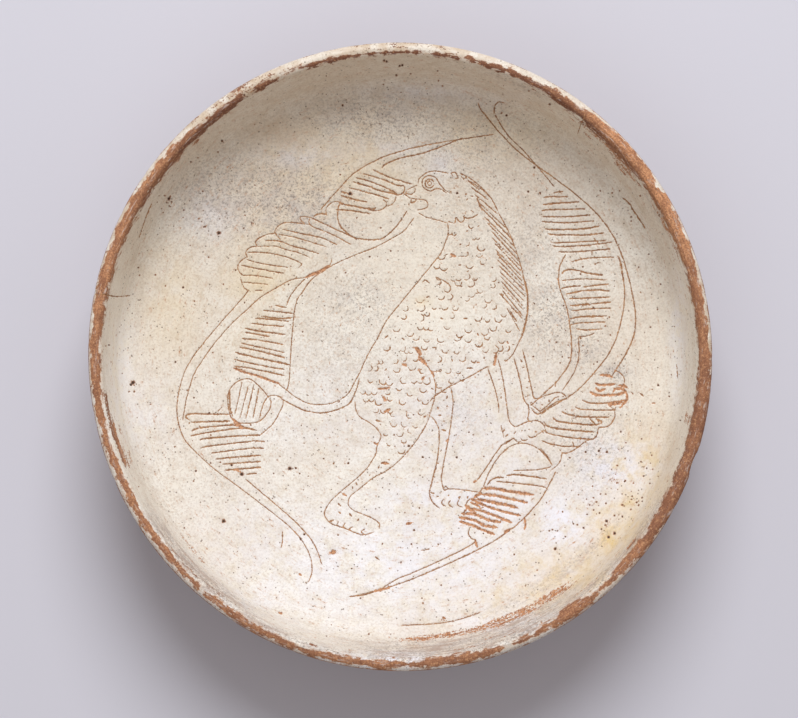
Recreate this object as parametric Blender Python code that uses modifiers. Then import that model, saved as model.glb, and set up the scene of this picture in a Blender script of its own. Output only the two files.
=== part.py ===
"""A slipware bowl: a thrown, ring-footed dish whose floor carries an incised beast among leafy stems.

The bowl stands on its foot at the origin, +Z up. Its clay body is one piece: a turned profile,
oval by a hair as hand-thrown ware is, with the main lines of the drawing cut into its floor and a
flake broken from its lip.
"""

import math

import bmesh
import bpy
from mathutils import Vector

# Sizes of the pot, in metres
LIP_RADIUS = 0.125
LIP_THICKNESS = 0.0056
WALL_THICKNESS = 0.0070
WALL_HEIGHT = 0.0310
WALL_LEAN = 0.0050
DISH_DEPTH = 0.0170
FLOOR_THICKNESS = 0.0080
CORNER = 0.0070
FOOT_RADIUS = 0.0520
FOOT_WIDTH = 0.0085
FOOT_HEIGHT = 0.0060
FOOT_SPLAY = 0.0015
FOOT_CHAMFER = 0.0010

# How far the pot was pulled out of round on the wheel, and which way its long axis lies
OVAL = 0.0009
OVAL_AXIS = math.radians(103)
LIP_WAVE = 0.0006

# The tool's cut: a V as deep as this and twice as wide, its shoulders clear above the clay
GROOVE_DEPTH = 0.0005
TOOL_CLEARANCE = 0.0004

# The drawing is laid out on a square grid that faces the eye. Its middle lies a few steps nearer
# than the lip's middle, and the eye leans back from straight above.
GRID_STEPS_TO_LIP = 314.7
DRAWING_DROP = 4.5
EYE_DISTANCE = 1.050
EYE_TILT = math.radians(5.5)

# Roundness of the faceted solid
TURN_STEPS = 56
FLOOR_STEPS = 4
CURVE_STEPS = 3
LIP_STEPS = 4
CUT_SLACK = 0.0003

# Cream slip over red clay
SLIP_COLOUR = (0.76, 0.63, 0.49, 1.0)
SLIP_ROUGHNESS = 0.55

# Derived places
wall_foot_radius = LIP_RADIUS - LIP_THICKNESS - WALL_LEAN
lip_height = FOOT_HEIGHT + FLOOR_THICKNESS + DISH_DEPTH + WALL_HEIGHT
lip_round = LIP_THICKNESS / 2
wall_top_height = lip_height - lip_round
grid = LIP_RADIUS / GRID_STEPS_TO_LIP
lip_middle = Vector((0, 0, lip_height))
grid_across = Vector((grid, 0, 0))
grid_away = Vector((0, math.cos(EYE_TILT), math.sin(EYE_TILT))) * grid
eye = lip_middle + Vector((0, -math.sin(EYE_TILT), math.cos(EYE_TILT))) * EYE_DISTANCE

# Lines of the drawing, in grid steps from its middle, to the right and away
BEAST_LINES = {
    "crest_and_chest": [(16, 174), (21, 181), (31, 185), (47, 184), (64, 184), (80, 173), (102, 140),
                        (120, 95), (125, 72), (126, 39), (120, 17), (103, -3)],
    "jaw": [(18, 144), (30, 138), (46, 134)],
    "back_and_tail": [(46, 134), (48, 124), (41, 108), (24, 84), (2, 59), (-20, 26), (-34, 1),
                      (-46, -23), (-56, -40), (-73, -48), (-94, -46), (-112, -38)],
    "tail_underside": [(-42, -23), (-45, -36), (-52, -48), (-70, -55), (-84, -56), (-100, -52), (-113, -43)],
    "rump_and_hind_leg": [(-46, -41), (-45, -51), (-37, -63), (-22, -73), (-19, -80), (-23, -90),
                          (-26, -101), (-37, -115), (-57, -132), (-73, -148), (-75, -158), (-68, -168),
                          (-52, -174), (-25, -176)],
    "thigh_and_hock": [(19, 5), (27, -7), (34, -25), (34, -38), (30, -56), (22, -73), (-5, -107),
                       (-42, -133), (-51, -144), (-46, -153), (-30, -159), (-20, -167), (-21, -172)],
    "other_hind_leg_back": [(30, -58), (37, -65), (40, -78), (39, -93), (35, -115), (30, -131), (31, -143),
                            (40, -151)],
    "other_hind_leg_front": [(50, -30), (53, -46), (51, -68), (43, -114), (45, -131), (60, -132), (79, -134)],
    "belly": [(30, -44), (37, -38), (50, -28), (70, -20), (87, -9)],
    "near_foreleg_back": [(87, -9), (92, -21), (97, -41), (99, -61), (105, -80), (114, -84), (123, -83),
                          (138, -77), (146, -72)],
    "near_foreleg_front": [(96, 4), (104, -25), (107, -48), (110, -65), (116, -69), (127, -63), (140, -64),
                           (146, -72)],
    "far_foreleg_back": [(115, 0), (121, -25), (123, -40), (128, -50), (128, -60), (132, -63)],
    "far_foreleg_front": [(122, 12), (128, -13), (132, -34), (138, -42), (150, -37), (160, -35), (166, -40),
                          (153, -49), (141, -57)],
    "muzzle": [(3, 164), (10, 158), (20, 158), (27, 153), (22, 147), (16, 147)],
    "upper_eyelid": [(21, 175), (26, 179), (32, 180), (37, 173), (47, 165)],
    "lower_eyelid": [(21, 175), (23, 169), (30, 166), (43, 166)],
}
LEAF_LINES = {
    "crown_stem_upper": [(-78, 145), (-68, 161), (-53, 178), (-33, 193), (-12, 202), (25, 212), (92, 223)],
    "crown_stem_lower": [(-19, 189), (-15, 193), (0, 199), (25, 205), (61, 219)],
    "mouth_leaf_bulb": [(-62, 151), (-63, 139), (-57, 126), (-40, 117), (-22, 118), (-5, 130), (6, 146)],
    "left_stem_inner": [(13, 140), (2, 126), (-20, 113), (-67, 96), (-83, 84), (-110, 76), (-138, 59),
                        (-168, 34), (-190, 7), (-206, -21), (-217, -64)],
    "left_stem_outer": [(-154, 65), (-195, 14), (-212, -7), (-222, -33), (-223, -58), (-213, -87),
                        (-192, -109), (-109, -171), (-92, -193), (-87, -211), (-94, -225)],
    "left_stem_tip": [(-157, -122), (-138, -138), (-110, -160), (-92, -180), (-77, -208)],
    "hanging_leaf_edge": [(-72, 90), (-86, 80), (-98, 70), (-104, 54), (-109, 22), (-111, -13),
                          (-115, -40), (-124, -63), (-142, -80)],
    "right_stem_outer": [(99, 255), (94, 252), (95, 241), (108, 220), (130, 197), (170, 166), (204, 135),
                         (218, 114), (230, 75), (235, 47), (235, 32), (227, 8), (216, -12)],
    "right_stem_inner": [(77, 255), (80, 247), (98, 226), (124, 200), (153, 170)],
    "right_leaf_rib": [(217, 102), (224, 77), (225, 62), (220, 35), (204, -1), (187, -22), (153, -49),
                       (141, -57)],
    "right_leaf_edge": [(165, 102), (159, 84), (161, 64), (170, 27), (171, 2), (162, -19), (138, -41)],
    "low_leaf_bulb": [(147, -113), (153, -109), (147, -94), (128, -86), (108, -91), (94, -107), (82, -133)],
    "low_leaf_edge": [(161, -93), (163, -98), (157, -113), (140, -144), (116, -171), (62, -200),
                      (0, -225), (-48, -241)],
    "low_stem_upper": [(113, -81), (100, -91), (85, -111), (75, -126)],
    "low_stem_lower": [(70, -173), (70, -180), (76, -184), (55, -194), (-5, -222), (-48, -240)],
}

# Hatching: the two edges that the strokes run between, and how many strokes there are
HATCHES = {
    "mouth_leaf": ([(-29, 187), (-48, 174), (-58, 163), (-64, 147)],
                   [(11, 173), (-8, 162), (-17, 155), (-30, 143)], 9),
    "upper_leaf": ([(-90, 139), (-116, 128), (-142, 109), (-157, 91), (-157, 74), (-151, 66)],
                   [(-50, 121), (-63, 112), (-82, 103), (-112, 90), (-129, 78), (-138, 67)], 12),
    "hanging_leaf": ([(-124, 50), (-149, 32), (-159, 12), (-166, -11), (-165, -16)],
                     [(-114, 50), (-110, 36), (-116, 14), (-113, -2), (-120, -29)], 14),
    "low_left_leaf": ([(-210, -68), (-209, -80), (-199, -92), (-184, -103), (-155, -119)],
                      [(-168, -64), (-142, -74), (-138, -85), (-136, -93), (-142, -117)], 10),
    "right_leaf": ([(153, 165), (142, 155), (141, 135), (151, 115), (172, 96)],
                   [(162, 166), (184, 149), (200, 131), (212, 116), (213, 101)], 12),
    "right_leaf_foot": ([(162, 83), (161, 68), (171, 52), (171, 39), (177, 28)],
                        [(202, 83), (208, 73), (211, 61), (211, 41), (202, 29)], 10),
    "low_right_leaf": ([(200, -19), (190, -36), (175, -49), (153, -60), (142, -83)],
                       [(212, -19), (225, -36), (215, -52), (202, -67), (175, -89)], 11),
    "low_leaf": ([(109, -118), (86, -131), (75, -143), (62, -156), (55, -165)],
                 [(148, -121), (136, -137), (118, -152), (113, -164), (95, -177)], 10),
    "mane": ([(70, 170), (84, 142), (94, 114), (101, 82), (108, 37)],
             [(88, 158), (110, 119), (122, 87), (127, 52), (124, 24)], 17),
    "knot": ([(-158, -26), (-150, -31), (-140, -33), (-132, -41)],
             [(-164, -58), (-157, -65), (-147, -64), (-139, -58)], 5),
}

# Lobed leaves: the points where their lobes meet; each lobe swells to the right of its chord
LOBES = {
    "upper_leaf": [(-63, 154), (-76, 145), (-92, 133), (-120, 117), (-141, 109), (-155, 101),
                   (-158, 82), (-150, 65)],
    "low_right_leaf": [(160, -93), (174, -89), (188, -84), (201, -71), (220, -50), (223, -31), (212, -11)],
}
LOBE_SWELL = 0.45

# The knot on the tail: an oval drawn in two strokes that overlap
KNOT_MIDDLE = (-150, -46)
KNOT_HALF_WIDTH = 20
KNOT_HALF_HEIGHT = 24
KNOT_STROKES = [(80, 290), (100, -70)]

# The flake broken from the lip's outer edge: where it is, and its size along, into and down the lip
FLAKE_ANGLE = math.radians(-20.5)
FLAKE_LENGTH = 0.0150
FLAKE_BITE = 0.0018
FLAKE_HEIGHT = 0.0040


def bend(start, corner, end, steps):
    """Points of a quadratic curve, without its first one."""
    found = []
    for step in range(1, steps + 1):
        t = step / steps
        found.append(tuple(
            (1 - t) ** 2 * s + 2 * t * (1 - t) * c + t * t * e for s, c, e in zip(start, corner, end)
        ))
    return found


def floor_height(radius):
    """The floor is a shallow paraboloid up to the foot of the wall."""
    return FOOT_HEIGHT + FLOOR_THICKNESS + DISH_DEPTH * (radius / wall_foot_radius) ** 2


def underside(radius):
    return floor_height(radius) - FLOOR_THICKNESS


def inner_profile():
    """From the middle of the floor to the lip: dished floor, rounded corner, leaning wall."""
    floor_edge = wall_foot_radius - CORNER
    points = [(floor_edge * i / FLOOR_STEPS, floor_height(floor_edge * i / FLOOR_STEPS))
              for i in range(FLOOR_STEPS + 1)]
    foot = (wall_foot_radius, floor_height(wall_foot_radius))
    top = (wall_foot_radius + WALL_LEAN, wall_top_height)
    share = CORNER / (top[1] - foot[1])
    wall_start = (foot[0] + share * (top[0] - foot[0]), foot[1] + CORNER)
    return points + bend(points[-1], foot, wall_start, CURVE_STEPS) + [top]


def lip_profile():
    """Half a circle over the lip, from its inner side to its outer side."""
    middle = LIP_RADIUS - lip_round
    angles = [math.pi * (1 - i / LIP_STEPS) for i in range(1, LIP_STEPS + 1)]
    return [(middle + lip_round * math.cos(a), wall_top_height + lip_round * math.sin(a)) for a in angles]


def outer_profile():
    """Down the outside: wall, rounded turn, dish, then the ring foot and its recess to the middle."""
    turn_radius = wall_foot_radius + WALL_THICKNESS
    turn = (turn_radius, underside(turn_radius))
    turn_reach = CORNER + WALL_THICKNESS
    above = (turn_radius, turn[1] + turn_reach)
    below = (turn_radius - turn_reach, underside(turn_radius - turn_reach))
    neck = FOOT_RADIUS - FOOT_SPLAY
    dish = [below[0] + (neck - below[0]) * i / 3 for i in (1, 2)]
    inside_foot = FOOT_RADIUS - FOOT_WIDTH
    recess = [inside_foot, inside_foot / 2, 0]
    points = [above] + bend(above, turn, below, CURVE_STEPS)
    points += [(radius, underside(radius)) for radius in dish]
    points += bend((neck + FOOT_CHAMFER * 2, underside(neck)), (neck, underside(neck)),
                   (neck, underside(neck) - FOOT_CHAMFER * 2), 2)
    points += [(FOOT_RADIUS, FOOT_CHAMFER), (FOOT_RADIUS - FOOT_CHAMFER, 0)]
    points += [(inside_foot + FOOT_CHAMFER, 0), (inside_foot, FOOT_CHAMFER)]
    return points + [(radius, underside(radius)) for radius in recess]


def inside_height(radius):
    """Height of the pot's inner face at a radius, read along its profile."""
    profile = inner_profile()
    for (r0, z0), (r1, z1) in zip(profile, profile[1:]):
        if radius <= r1:
            return z0 + (z1 - z0) * (radius - r0) / (r1 - r0)
    return profile[-1][1]


def on_floor(across, away):
    """The point of the floor that the eye sees behind a point of the drawing grid."""
    seen = lip_middle + grid_across * across + grid_away * (away - DRAWING_DROP)
    reach = 1.0
    for _ in range(8):
        point = eye + (seen - eye) * reach
        reach = (eye.z - inside_height(point.xy.length)) / (eye.z - seen.z)
    return eye + (seen - eye) * reach


def through(points, spacing=3):
    """A smooth line through the points (Catmull-Rom), with a point about every spacing."""
    ends = [points[0], *points, points[-1]]
    line = [Vector(points[0])]
    for before, start, end, after in zip(ends, ends[1:], ends[2:], ends[3:]):
        p0, p1, p2, p3 = (Vector(p) for p in (before, start, end, after))
        pieces = max(1, round((p2 - p1).length / spacing))
        for piece in range(1, pieces + 1):
            t = piece / pieces
            line.append(0.5 * (2 * p1 + (p2 - p0) * t + (2 * p0 - 5 * p1 + 4 * p2 - p3) * t * t
                               + (3 * p1 - p0 - 3 * p2 + p3) * t ** 3))
    return line


def simplified(line, slack):
    """The line with only the points it needs to stay within the slack of its full course."""
    if len(line) < 3:
        return line
    start, end = line[0], line[-1]
    chord = (end - start).normalized()
    strays = [(p - start - chord * (p - start).dot(chord)).length for p in line]
    stray = max(strays)
    if stray <= slack:
        return [start, end]
    turn = strays.index(stray)
    return simplified(line[:turn + 1], slack)[:-1] + simplified(line[turn:], slack)


def along(points, count):
    """Places spread evenly along the smooth line through the points."""
    line = through(points)
    return [line[round(i * (len(line) - 1) / (count - 1))] for i in range(count)]


def hatching():
    """The strokes of every hatched patch, each a straight line from edge to edge."""
    for name, (near, far, count) in HATCHES.items():
        for number, ends in enumerate(zip(along(near, count), along(far, count)), 1):
            yield f"{name}_stroke_{number}", ends


def lobe_arcs():
    """One arc for each lobe of a leaf's edge."""
    for name, valleys in LOBES.items():
        for number, (start, end) in enumerate(zip(valleys, valleys[1:]), 1):
            chord = Vector(end) - Vector(start)
            swell = Vector((chord.y, -chord.x)) * LOBE_SWELL
            shoulders = [Vector(start) + chord * share + swell for share in (0.2, 0.8)]
            yield f"{name}_lobe_{number}", [start, *shoulders, end]


def knot_strokes():
    for number, (start, end) in enumerate(KNOT_STROKES, 1):
        angles = [math.radians(start + (end - start) * i / 6) for i in range(7)]
        yield f"knot_{number}", [(KNOT_MIDDLE[0] + KNOT_HALF_WIDTH * math.cos(a),
                                  KNOT_MIDDLE[1] + KNOT_HALF_HEIGHT * math.sin(a)) for a in angles]


def clear_scene():
    for old in list(bpy.data.objects):
        bpy.data.objects.remove(old)


def collection(name):
    made = bpy.data.collections.new(name)
    bpy.context.scene.collection.children.link(made)
    return made


def as_cutter(cutter, group):
    cutter.hide_render = True
    cutter.display_type = "WIRE"
    group.objects.link(cutter)


def slipped_clay():
    material = bpy.data.materials.new("slipped_clay")
    material.use_nodes = True
    shader = material.node_tree.nodes["Principled BSDF"]
    shader.inputs["Base Color"].default_value = SLIP_COLOUR
    shader.inputs["Roughness"].default_value = SLIP_ROUGHNESS
    shader.inputs["Metallic"].default_value = 0.0
    return material


def mesh_of(obj):
    """The object's mesh as its modifiers leave it, with loose seams welded."""
    graph = bpy.context.evaluated_depsgraph_get()
    mesh = bpy.data.meshes.new_from_object(obj.evaluated_get(graph))
    shape = bmesh.new()
    shape.from_mesh(mesh)
    bmesh.ops.remove_doubles(shape, verts=shape.verts, dist=1e-7)
    shape.to_mesh(mesh)
    shape.free()
    return mesh


def thrown_body(group):
    """The pot as it came off the wheel: its half profile turned about the axis."""
    profile = inner_profile() + lip_profile() + outer_profile()
    mesh = bpy.data.meshes.new("bowl")
    mesh.from_pydata([(r, 0, z) for r, z in profile], [(i, i + 1) for i in range(len(profile) - 1)], [])
    bowl = bpy.data.objects.new("bowl", mesh)
    group.objects.link(bowl)
    turn = bowl.modifiers.new("turn", "SCREW")
    turn.steps = turn.render_steps = TURN_STEPS
    turn.use_merge_vertices = True
    turn.merge_threshold = 0.00001
    return bowl


def groove_cutter(name, points, group):
    """A square tube, edge down, that follows one line of the drawing along the floor."""
    raised = Vector((0, 0, TOOL_CLEARANCE))
    line = simplified([on_floor(*point) + raised for point in through(points)], CUT_SLACK)
    data = bpy.data.curves.new(name, "CURVE")
    data.dimensions = "3D"
    data.twist_mode = "Z_UP"
    data.bevel_depth = GROOVE_DEPTH + TOOL_CLEARANCE
    data.bevel_resolution = 0
    data.use_fill_caps = True
    spline = data.splines.new("POLY")
    spline.points.add(len(line) - 1)
    for knot, point in zip(spline.points, line):
        knot.co = (*point, 1)
    curve = bpy.data.objects.new(name + "_path", data)
    group.objects.link(curve)
    bpy.context.view_layer.update()
    cutter = bpy.data.objects.new(name, mesh_of(curve))
    cutter.matrix_world = curve.matrix_world
    bpy.data.objects.remove(curve)
    as_cutter(cutter, group)


def flake_cutter(group):
    """A pebble shape that takes a shallow flake from the outer edge of the lip."""
    shape = bmesh.new()
    bmesh.ops.create_icosphere(shape, subdivisions=2, radius=1.0)
    mesh = bpy.data.meshes.new("flake")
    shape.to_mesh(mesh)
    shape.free()
    flake = bpy.data.objects.new("flake", mesh)
    reach = FLAKE_BITE * 3
    out = LIP_RADIUS - FLAKE_BITE + reach
    flake.scale = (reach, FLAKE_LENGTH / 2, FLAKE_HEIGHT)
    flake.rotation_euler = (0, 0, FLAKE_ANGLE)
    flake.location = (out * math.cos(FLAKE_ANGLE), out * math.sin(FLAKE_ANGLE), lip_height - lip_round)
    as_cutter(flake, group)


def pulled_out_of_round(point):
    """Moves a point of the true turned shape to where the uneven hand-thrown one has it."""
    angle = math.atan2(point.y, point.x)
    rise = point.z / lip_height
    swell = OVAL * math.cos(2 * (angle - OVAL_AXIS)) * rise * point.xy.length / LIP_RADIUS
    lift = LIP_WAVE * math.sin(3 * angle) * rise ** 3
    return Vector((point.x + swell * math.cos(angle), point.y + swell * math.sin(angle), point.z + lift))


def make_bowl():
    clear_scene()
    parts = collection("slipware_bowl")
    cutters = collection("cutters")
    thrown = thrown_body(parts)
    drawn = [*BEAST_LINES.items(), *LEAF_LINES.items(), *hatching(), *lobe_arcs(), *knot_strokes()]
    for name, points in drawn:
        groove_cutter("cut_" + name, points, cutters)
    flake_cutter(cutters)
    incise = thrown.modifiers.new("incise", "BOOLEAN")
    incise.operation = "DIFFERENCE"
    incise.solver = "EXACT"
    incise.operand_type = "COLLECTION"
    incise.collection = cutters
    incise.use_self = True
    bpy.context.view_layer.update()
    mesh = mesh_of(thrown)
    bpy.data.objects.remove(thrown)
    for vertex in mesh.vertices:
        vertex.co = pulled_out_of_round(vertex.co)
    mesh.materials.clear()
    mesh.materials.append(slipped_clay())
    mesh.shade_smooth()
    mesh.set_sharp_from_angle(angle=math.radians(30))
    bowl = bpy.data.objects.new("bowl", mesh)
    parts.objects.link(bowl)


make_bowl()
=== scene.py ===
"""The looks of the slipware bowl: cream slip over red clay, a drawing cut through the slip, a worn lip.

The bowl is one skin. Its face is what the eye looks down on, the floor, the wall and the lip. It is a fine
mesh that follows every stroke and pit. The outside and the foot are rings that carry on from its rim.
"""

import math
from collections import namedtuple

import bpy
import numpy as np
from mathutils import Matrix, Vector, geometry, noise


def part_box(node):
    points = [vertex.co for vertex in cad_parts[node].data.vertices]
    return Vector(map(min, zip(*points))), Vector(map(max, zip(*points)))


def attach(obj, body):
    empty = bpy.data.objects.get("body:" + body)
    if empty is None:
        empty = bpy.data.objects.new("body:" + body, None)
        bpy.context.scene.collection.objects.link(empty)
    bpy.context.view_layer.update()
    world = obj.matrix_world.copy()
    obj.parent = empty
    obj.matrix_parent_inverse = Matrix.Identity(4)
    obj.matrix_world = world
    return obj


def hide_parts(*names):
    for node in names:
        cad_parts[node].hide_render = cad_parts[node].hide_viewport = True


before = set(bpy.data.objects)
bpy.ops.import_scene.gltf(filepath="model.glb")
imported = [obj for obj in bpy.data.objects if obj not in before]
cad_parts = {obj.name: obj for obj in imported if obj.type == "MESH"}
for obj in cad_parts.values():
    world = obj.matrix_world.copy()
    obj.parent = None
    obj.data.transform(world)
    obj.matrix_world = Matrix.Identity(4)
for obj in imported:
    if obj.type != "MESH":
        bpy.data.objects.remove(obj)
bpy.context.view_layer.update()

# Sizes of the pot, in metres, as the solid has them
LIP_THICKNESS = 0.0056
WALL_THICKNESS = 0.0070
WALL_LEAN = 0.0050
DISH_DEPTH = 0.0170
FLOOR_THICKNESS = 0.0080
CORNER = 0.0070
FOOT_RADIUS = 0.0520
FOOT_WIDTH = 0.0085
FOOT_HEIGHT = 0.0060
FOOT_SPLAY = 0.0015
FOOT_CHAMFER = 0.0010
OVAL = 0.0009
OVAL_AXIS = math.radians(103)
LIP_WAVE = 0.0006
LIP_WAVE_COUNT = 3
FLAKE_ANGLE = math.radians(-20.5)
FLAKE_LENGTH = 0.0150
FLAKE_BITE = 0.0018
FLAKE_HEIGHT = 0.0040
low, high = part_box("bowl")
LIP_RADIUS = (high.x - low.x + high.y - low.y) / 4
lip_height = high.z - LIP_WAVE
wall_foot_radius = LIP_RADIUS - LIP_THICKNESS - WALL_LEAN
lip_round = LIP_THICKNESS / 2
lip_crest = LIP_RADIUS - lip_round
wall_top_height = lip_height - lip_round
floor_edge = wall_foot_radius - CORNER

# The drawing's grid faces the eye, as the photograph does, with a step of one of its pixels
GRID_STEPS_TO_LIP = 314.7
DRAWING_DROP = 4.5
EYE_DISTANCE = 1.050
EYE_TILT = math.radians(5.5)
grid = LIP_RADIUS / GRID_STEPS_TO_LIP
lip_middle = Vector((0, 0, lip_height))
sight = Vector((0, math.sin(EYE_TILT), -math.cos(EYE_TILT)))
grid_across = Vector((grid, 0, 0))
grid_away = Vector((0, math.cos(EYE_TILT), math.sin(EYE_TILT))) * grid
eye = lip_middle - sight * EYE_DISTANCE

# The frame of the photograph, and the pixel of it that the middle of the lip falls on
PHOTO_WIDTH = 798
PHOTO_HEIGHT = 718
LIP_MIDDLE_PIXEL = (400.2, 352.5)
SENSOR_WIDTH = 36

# Fineness of the skin: points round the rings, numbers of rings, and spacings in grid steps. Points this
# close are the same one, and each cell gets a number of its own from rows of this many.
LIP_POINTS = 768
WALL_POINTS = 384
CORNER_STEPS = 10
WALL_STEPS = 15
LIP_STEPS = 13
LIP_SHARE = 0.87
STATION_SPACING = 1.7
SPOT_SPACING = 1.0
FLOOR_SPACING = 4.6
POINT_GAP = 0.5
RELIEF_CELL = 0.25
RELIEF_REACH = 318
SAME_POINT = 1e-6
ROW_OF_CELLS = 1_000_003

# The floor's staggered points: reach as a share of the floor, rows and shake as shares of the spacing, and
# how clear they stay of the strokes. Then how clear all points stay of the rim, in grid steps.
LATTICE_REACH = 0.965
LATTICE_ROW = 0.866
LATTICE_SHAKE = 0.06
LATTICE_CLEARANCE = 0.45
RIM_CLEARANCE = 0.4

# Rows of each stretch of the back. Its rings have half the points, and half again, from each of these
# depths below the lip and within each of these radii, in metres.
LIP_ROWS = 3
OUTSIDE_ROWS = 14
TURN_ROWS = 10
DISH_ROWS = 25
EDGE_ROWS = 3
FOOT_ROWS = 4
RECESS_ROWS = 15
FEWER_BELOW_LIP = (0.009, 0.014)
FEWER_WITHIN = (0.034, 0.018, 0.009, 0.004)
INNERMOST_RADIUS = 0.0015

# Clouds of noise over the pot: size in metres, and seed
CLOUDS = {
    "rough": (0.0021, 0), "ruffle": (0.0075, 1), "crumble": (0.0024, 2), "swell": (0.062, 3),
    "gaps": (0.0046, 4), "drips": (0.016, 5), "dust": (0.03, 6), "cover": (0.0040, 7), "shake": (0.11, 9),
}

# The potter's rings: height in metres and radians per metre, and how far the slow clouds shift them. Then
# the height of the slow swell on each side, and the roughness of the lip and how far it reaches.
FACE_RINGS = (0.00008, 1000)
BACK_RINGS = (0.00024, 1050)
RECESS_RINGS = (0.00018, 1300)
RING_SHIFT = 2.5
FACE_SWELL = 0.00022
BACK_SWELL = 0.0003
BACK_RINGS_START = 0.008
BACK_RINGS_RAMP = 0.010
CLEAR_OF_FOOT = 0.004
CLEAR_OF_RECESS = 0.002
LIP_ROUGHNESS = 0.00014
LIP_REACH = 0.006

# How finely the pot's form is worked out, and from which depth and how steeply the back faces down
CLEAR_ABOVE_LIP = 0.001
SIGHT_HALVINGS = 32
PULL_ROUNDS = 3
SECTION_STEPS = 6000
SLOPE_STEP = 0.00002
STEEPEST = 8
UNDERSIDE_DEPTH = 0.030
UNDERSIDE_TILT = 0.3

Stroke = namedtuple("Stroke", "points width")

# Widths of the four kinds of cut, in grid steps, and how far single strokes depart from them
FINE = 1.45
FIRM = 1.95
BROAD = 2.9
GOUGE = 3.3
WIDTH_SPREAD = (0.85, 1.15)

# How a cut wanders and how the tool is pressed, as rate along it, step from one stroke to the next and layer
# of the noise, each with its reach. Then the spacing of its points, the length of its tapered ends in grid
# steps, the share of the width that is left at the tip, and its depth in metres with what width adds.
SWAY = (0.16, 7.3, 0)
SWAY_REACH = 0.3
PRESS = (0.38, 3.1, 5)
PRESS_REACH = 0.45
LINE_SPACING = 0.5
TAPER = 2.5
TIP_SHARE = 0.6
CUT_DEPTH = 0.00020
CUT_DEPTH_PER_STEP = 0.00009

# The widths from which a cut has the broad ones' colour and more rows of points, the length from which its
# points are further apart, and how far outside it the points lie that bound it, in grid steps
BROAD_FROM = FIRM * 1.2
MORE_ROWS_FROM = 2.4
LONG_FROM = 14
BESIDE_CUT = 1.0
PAST_END = 1.1

# How a cut is stamped in the relief, in half widths: how far the stamp reaches, how steep its sides are, and
# how far outside it the colour of broad cuts goes
STAMP_REACH = 2.1
STAMP_STEEPNESS = 1.35
BROAD_BEYOND = 0.5

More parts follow.
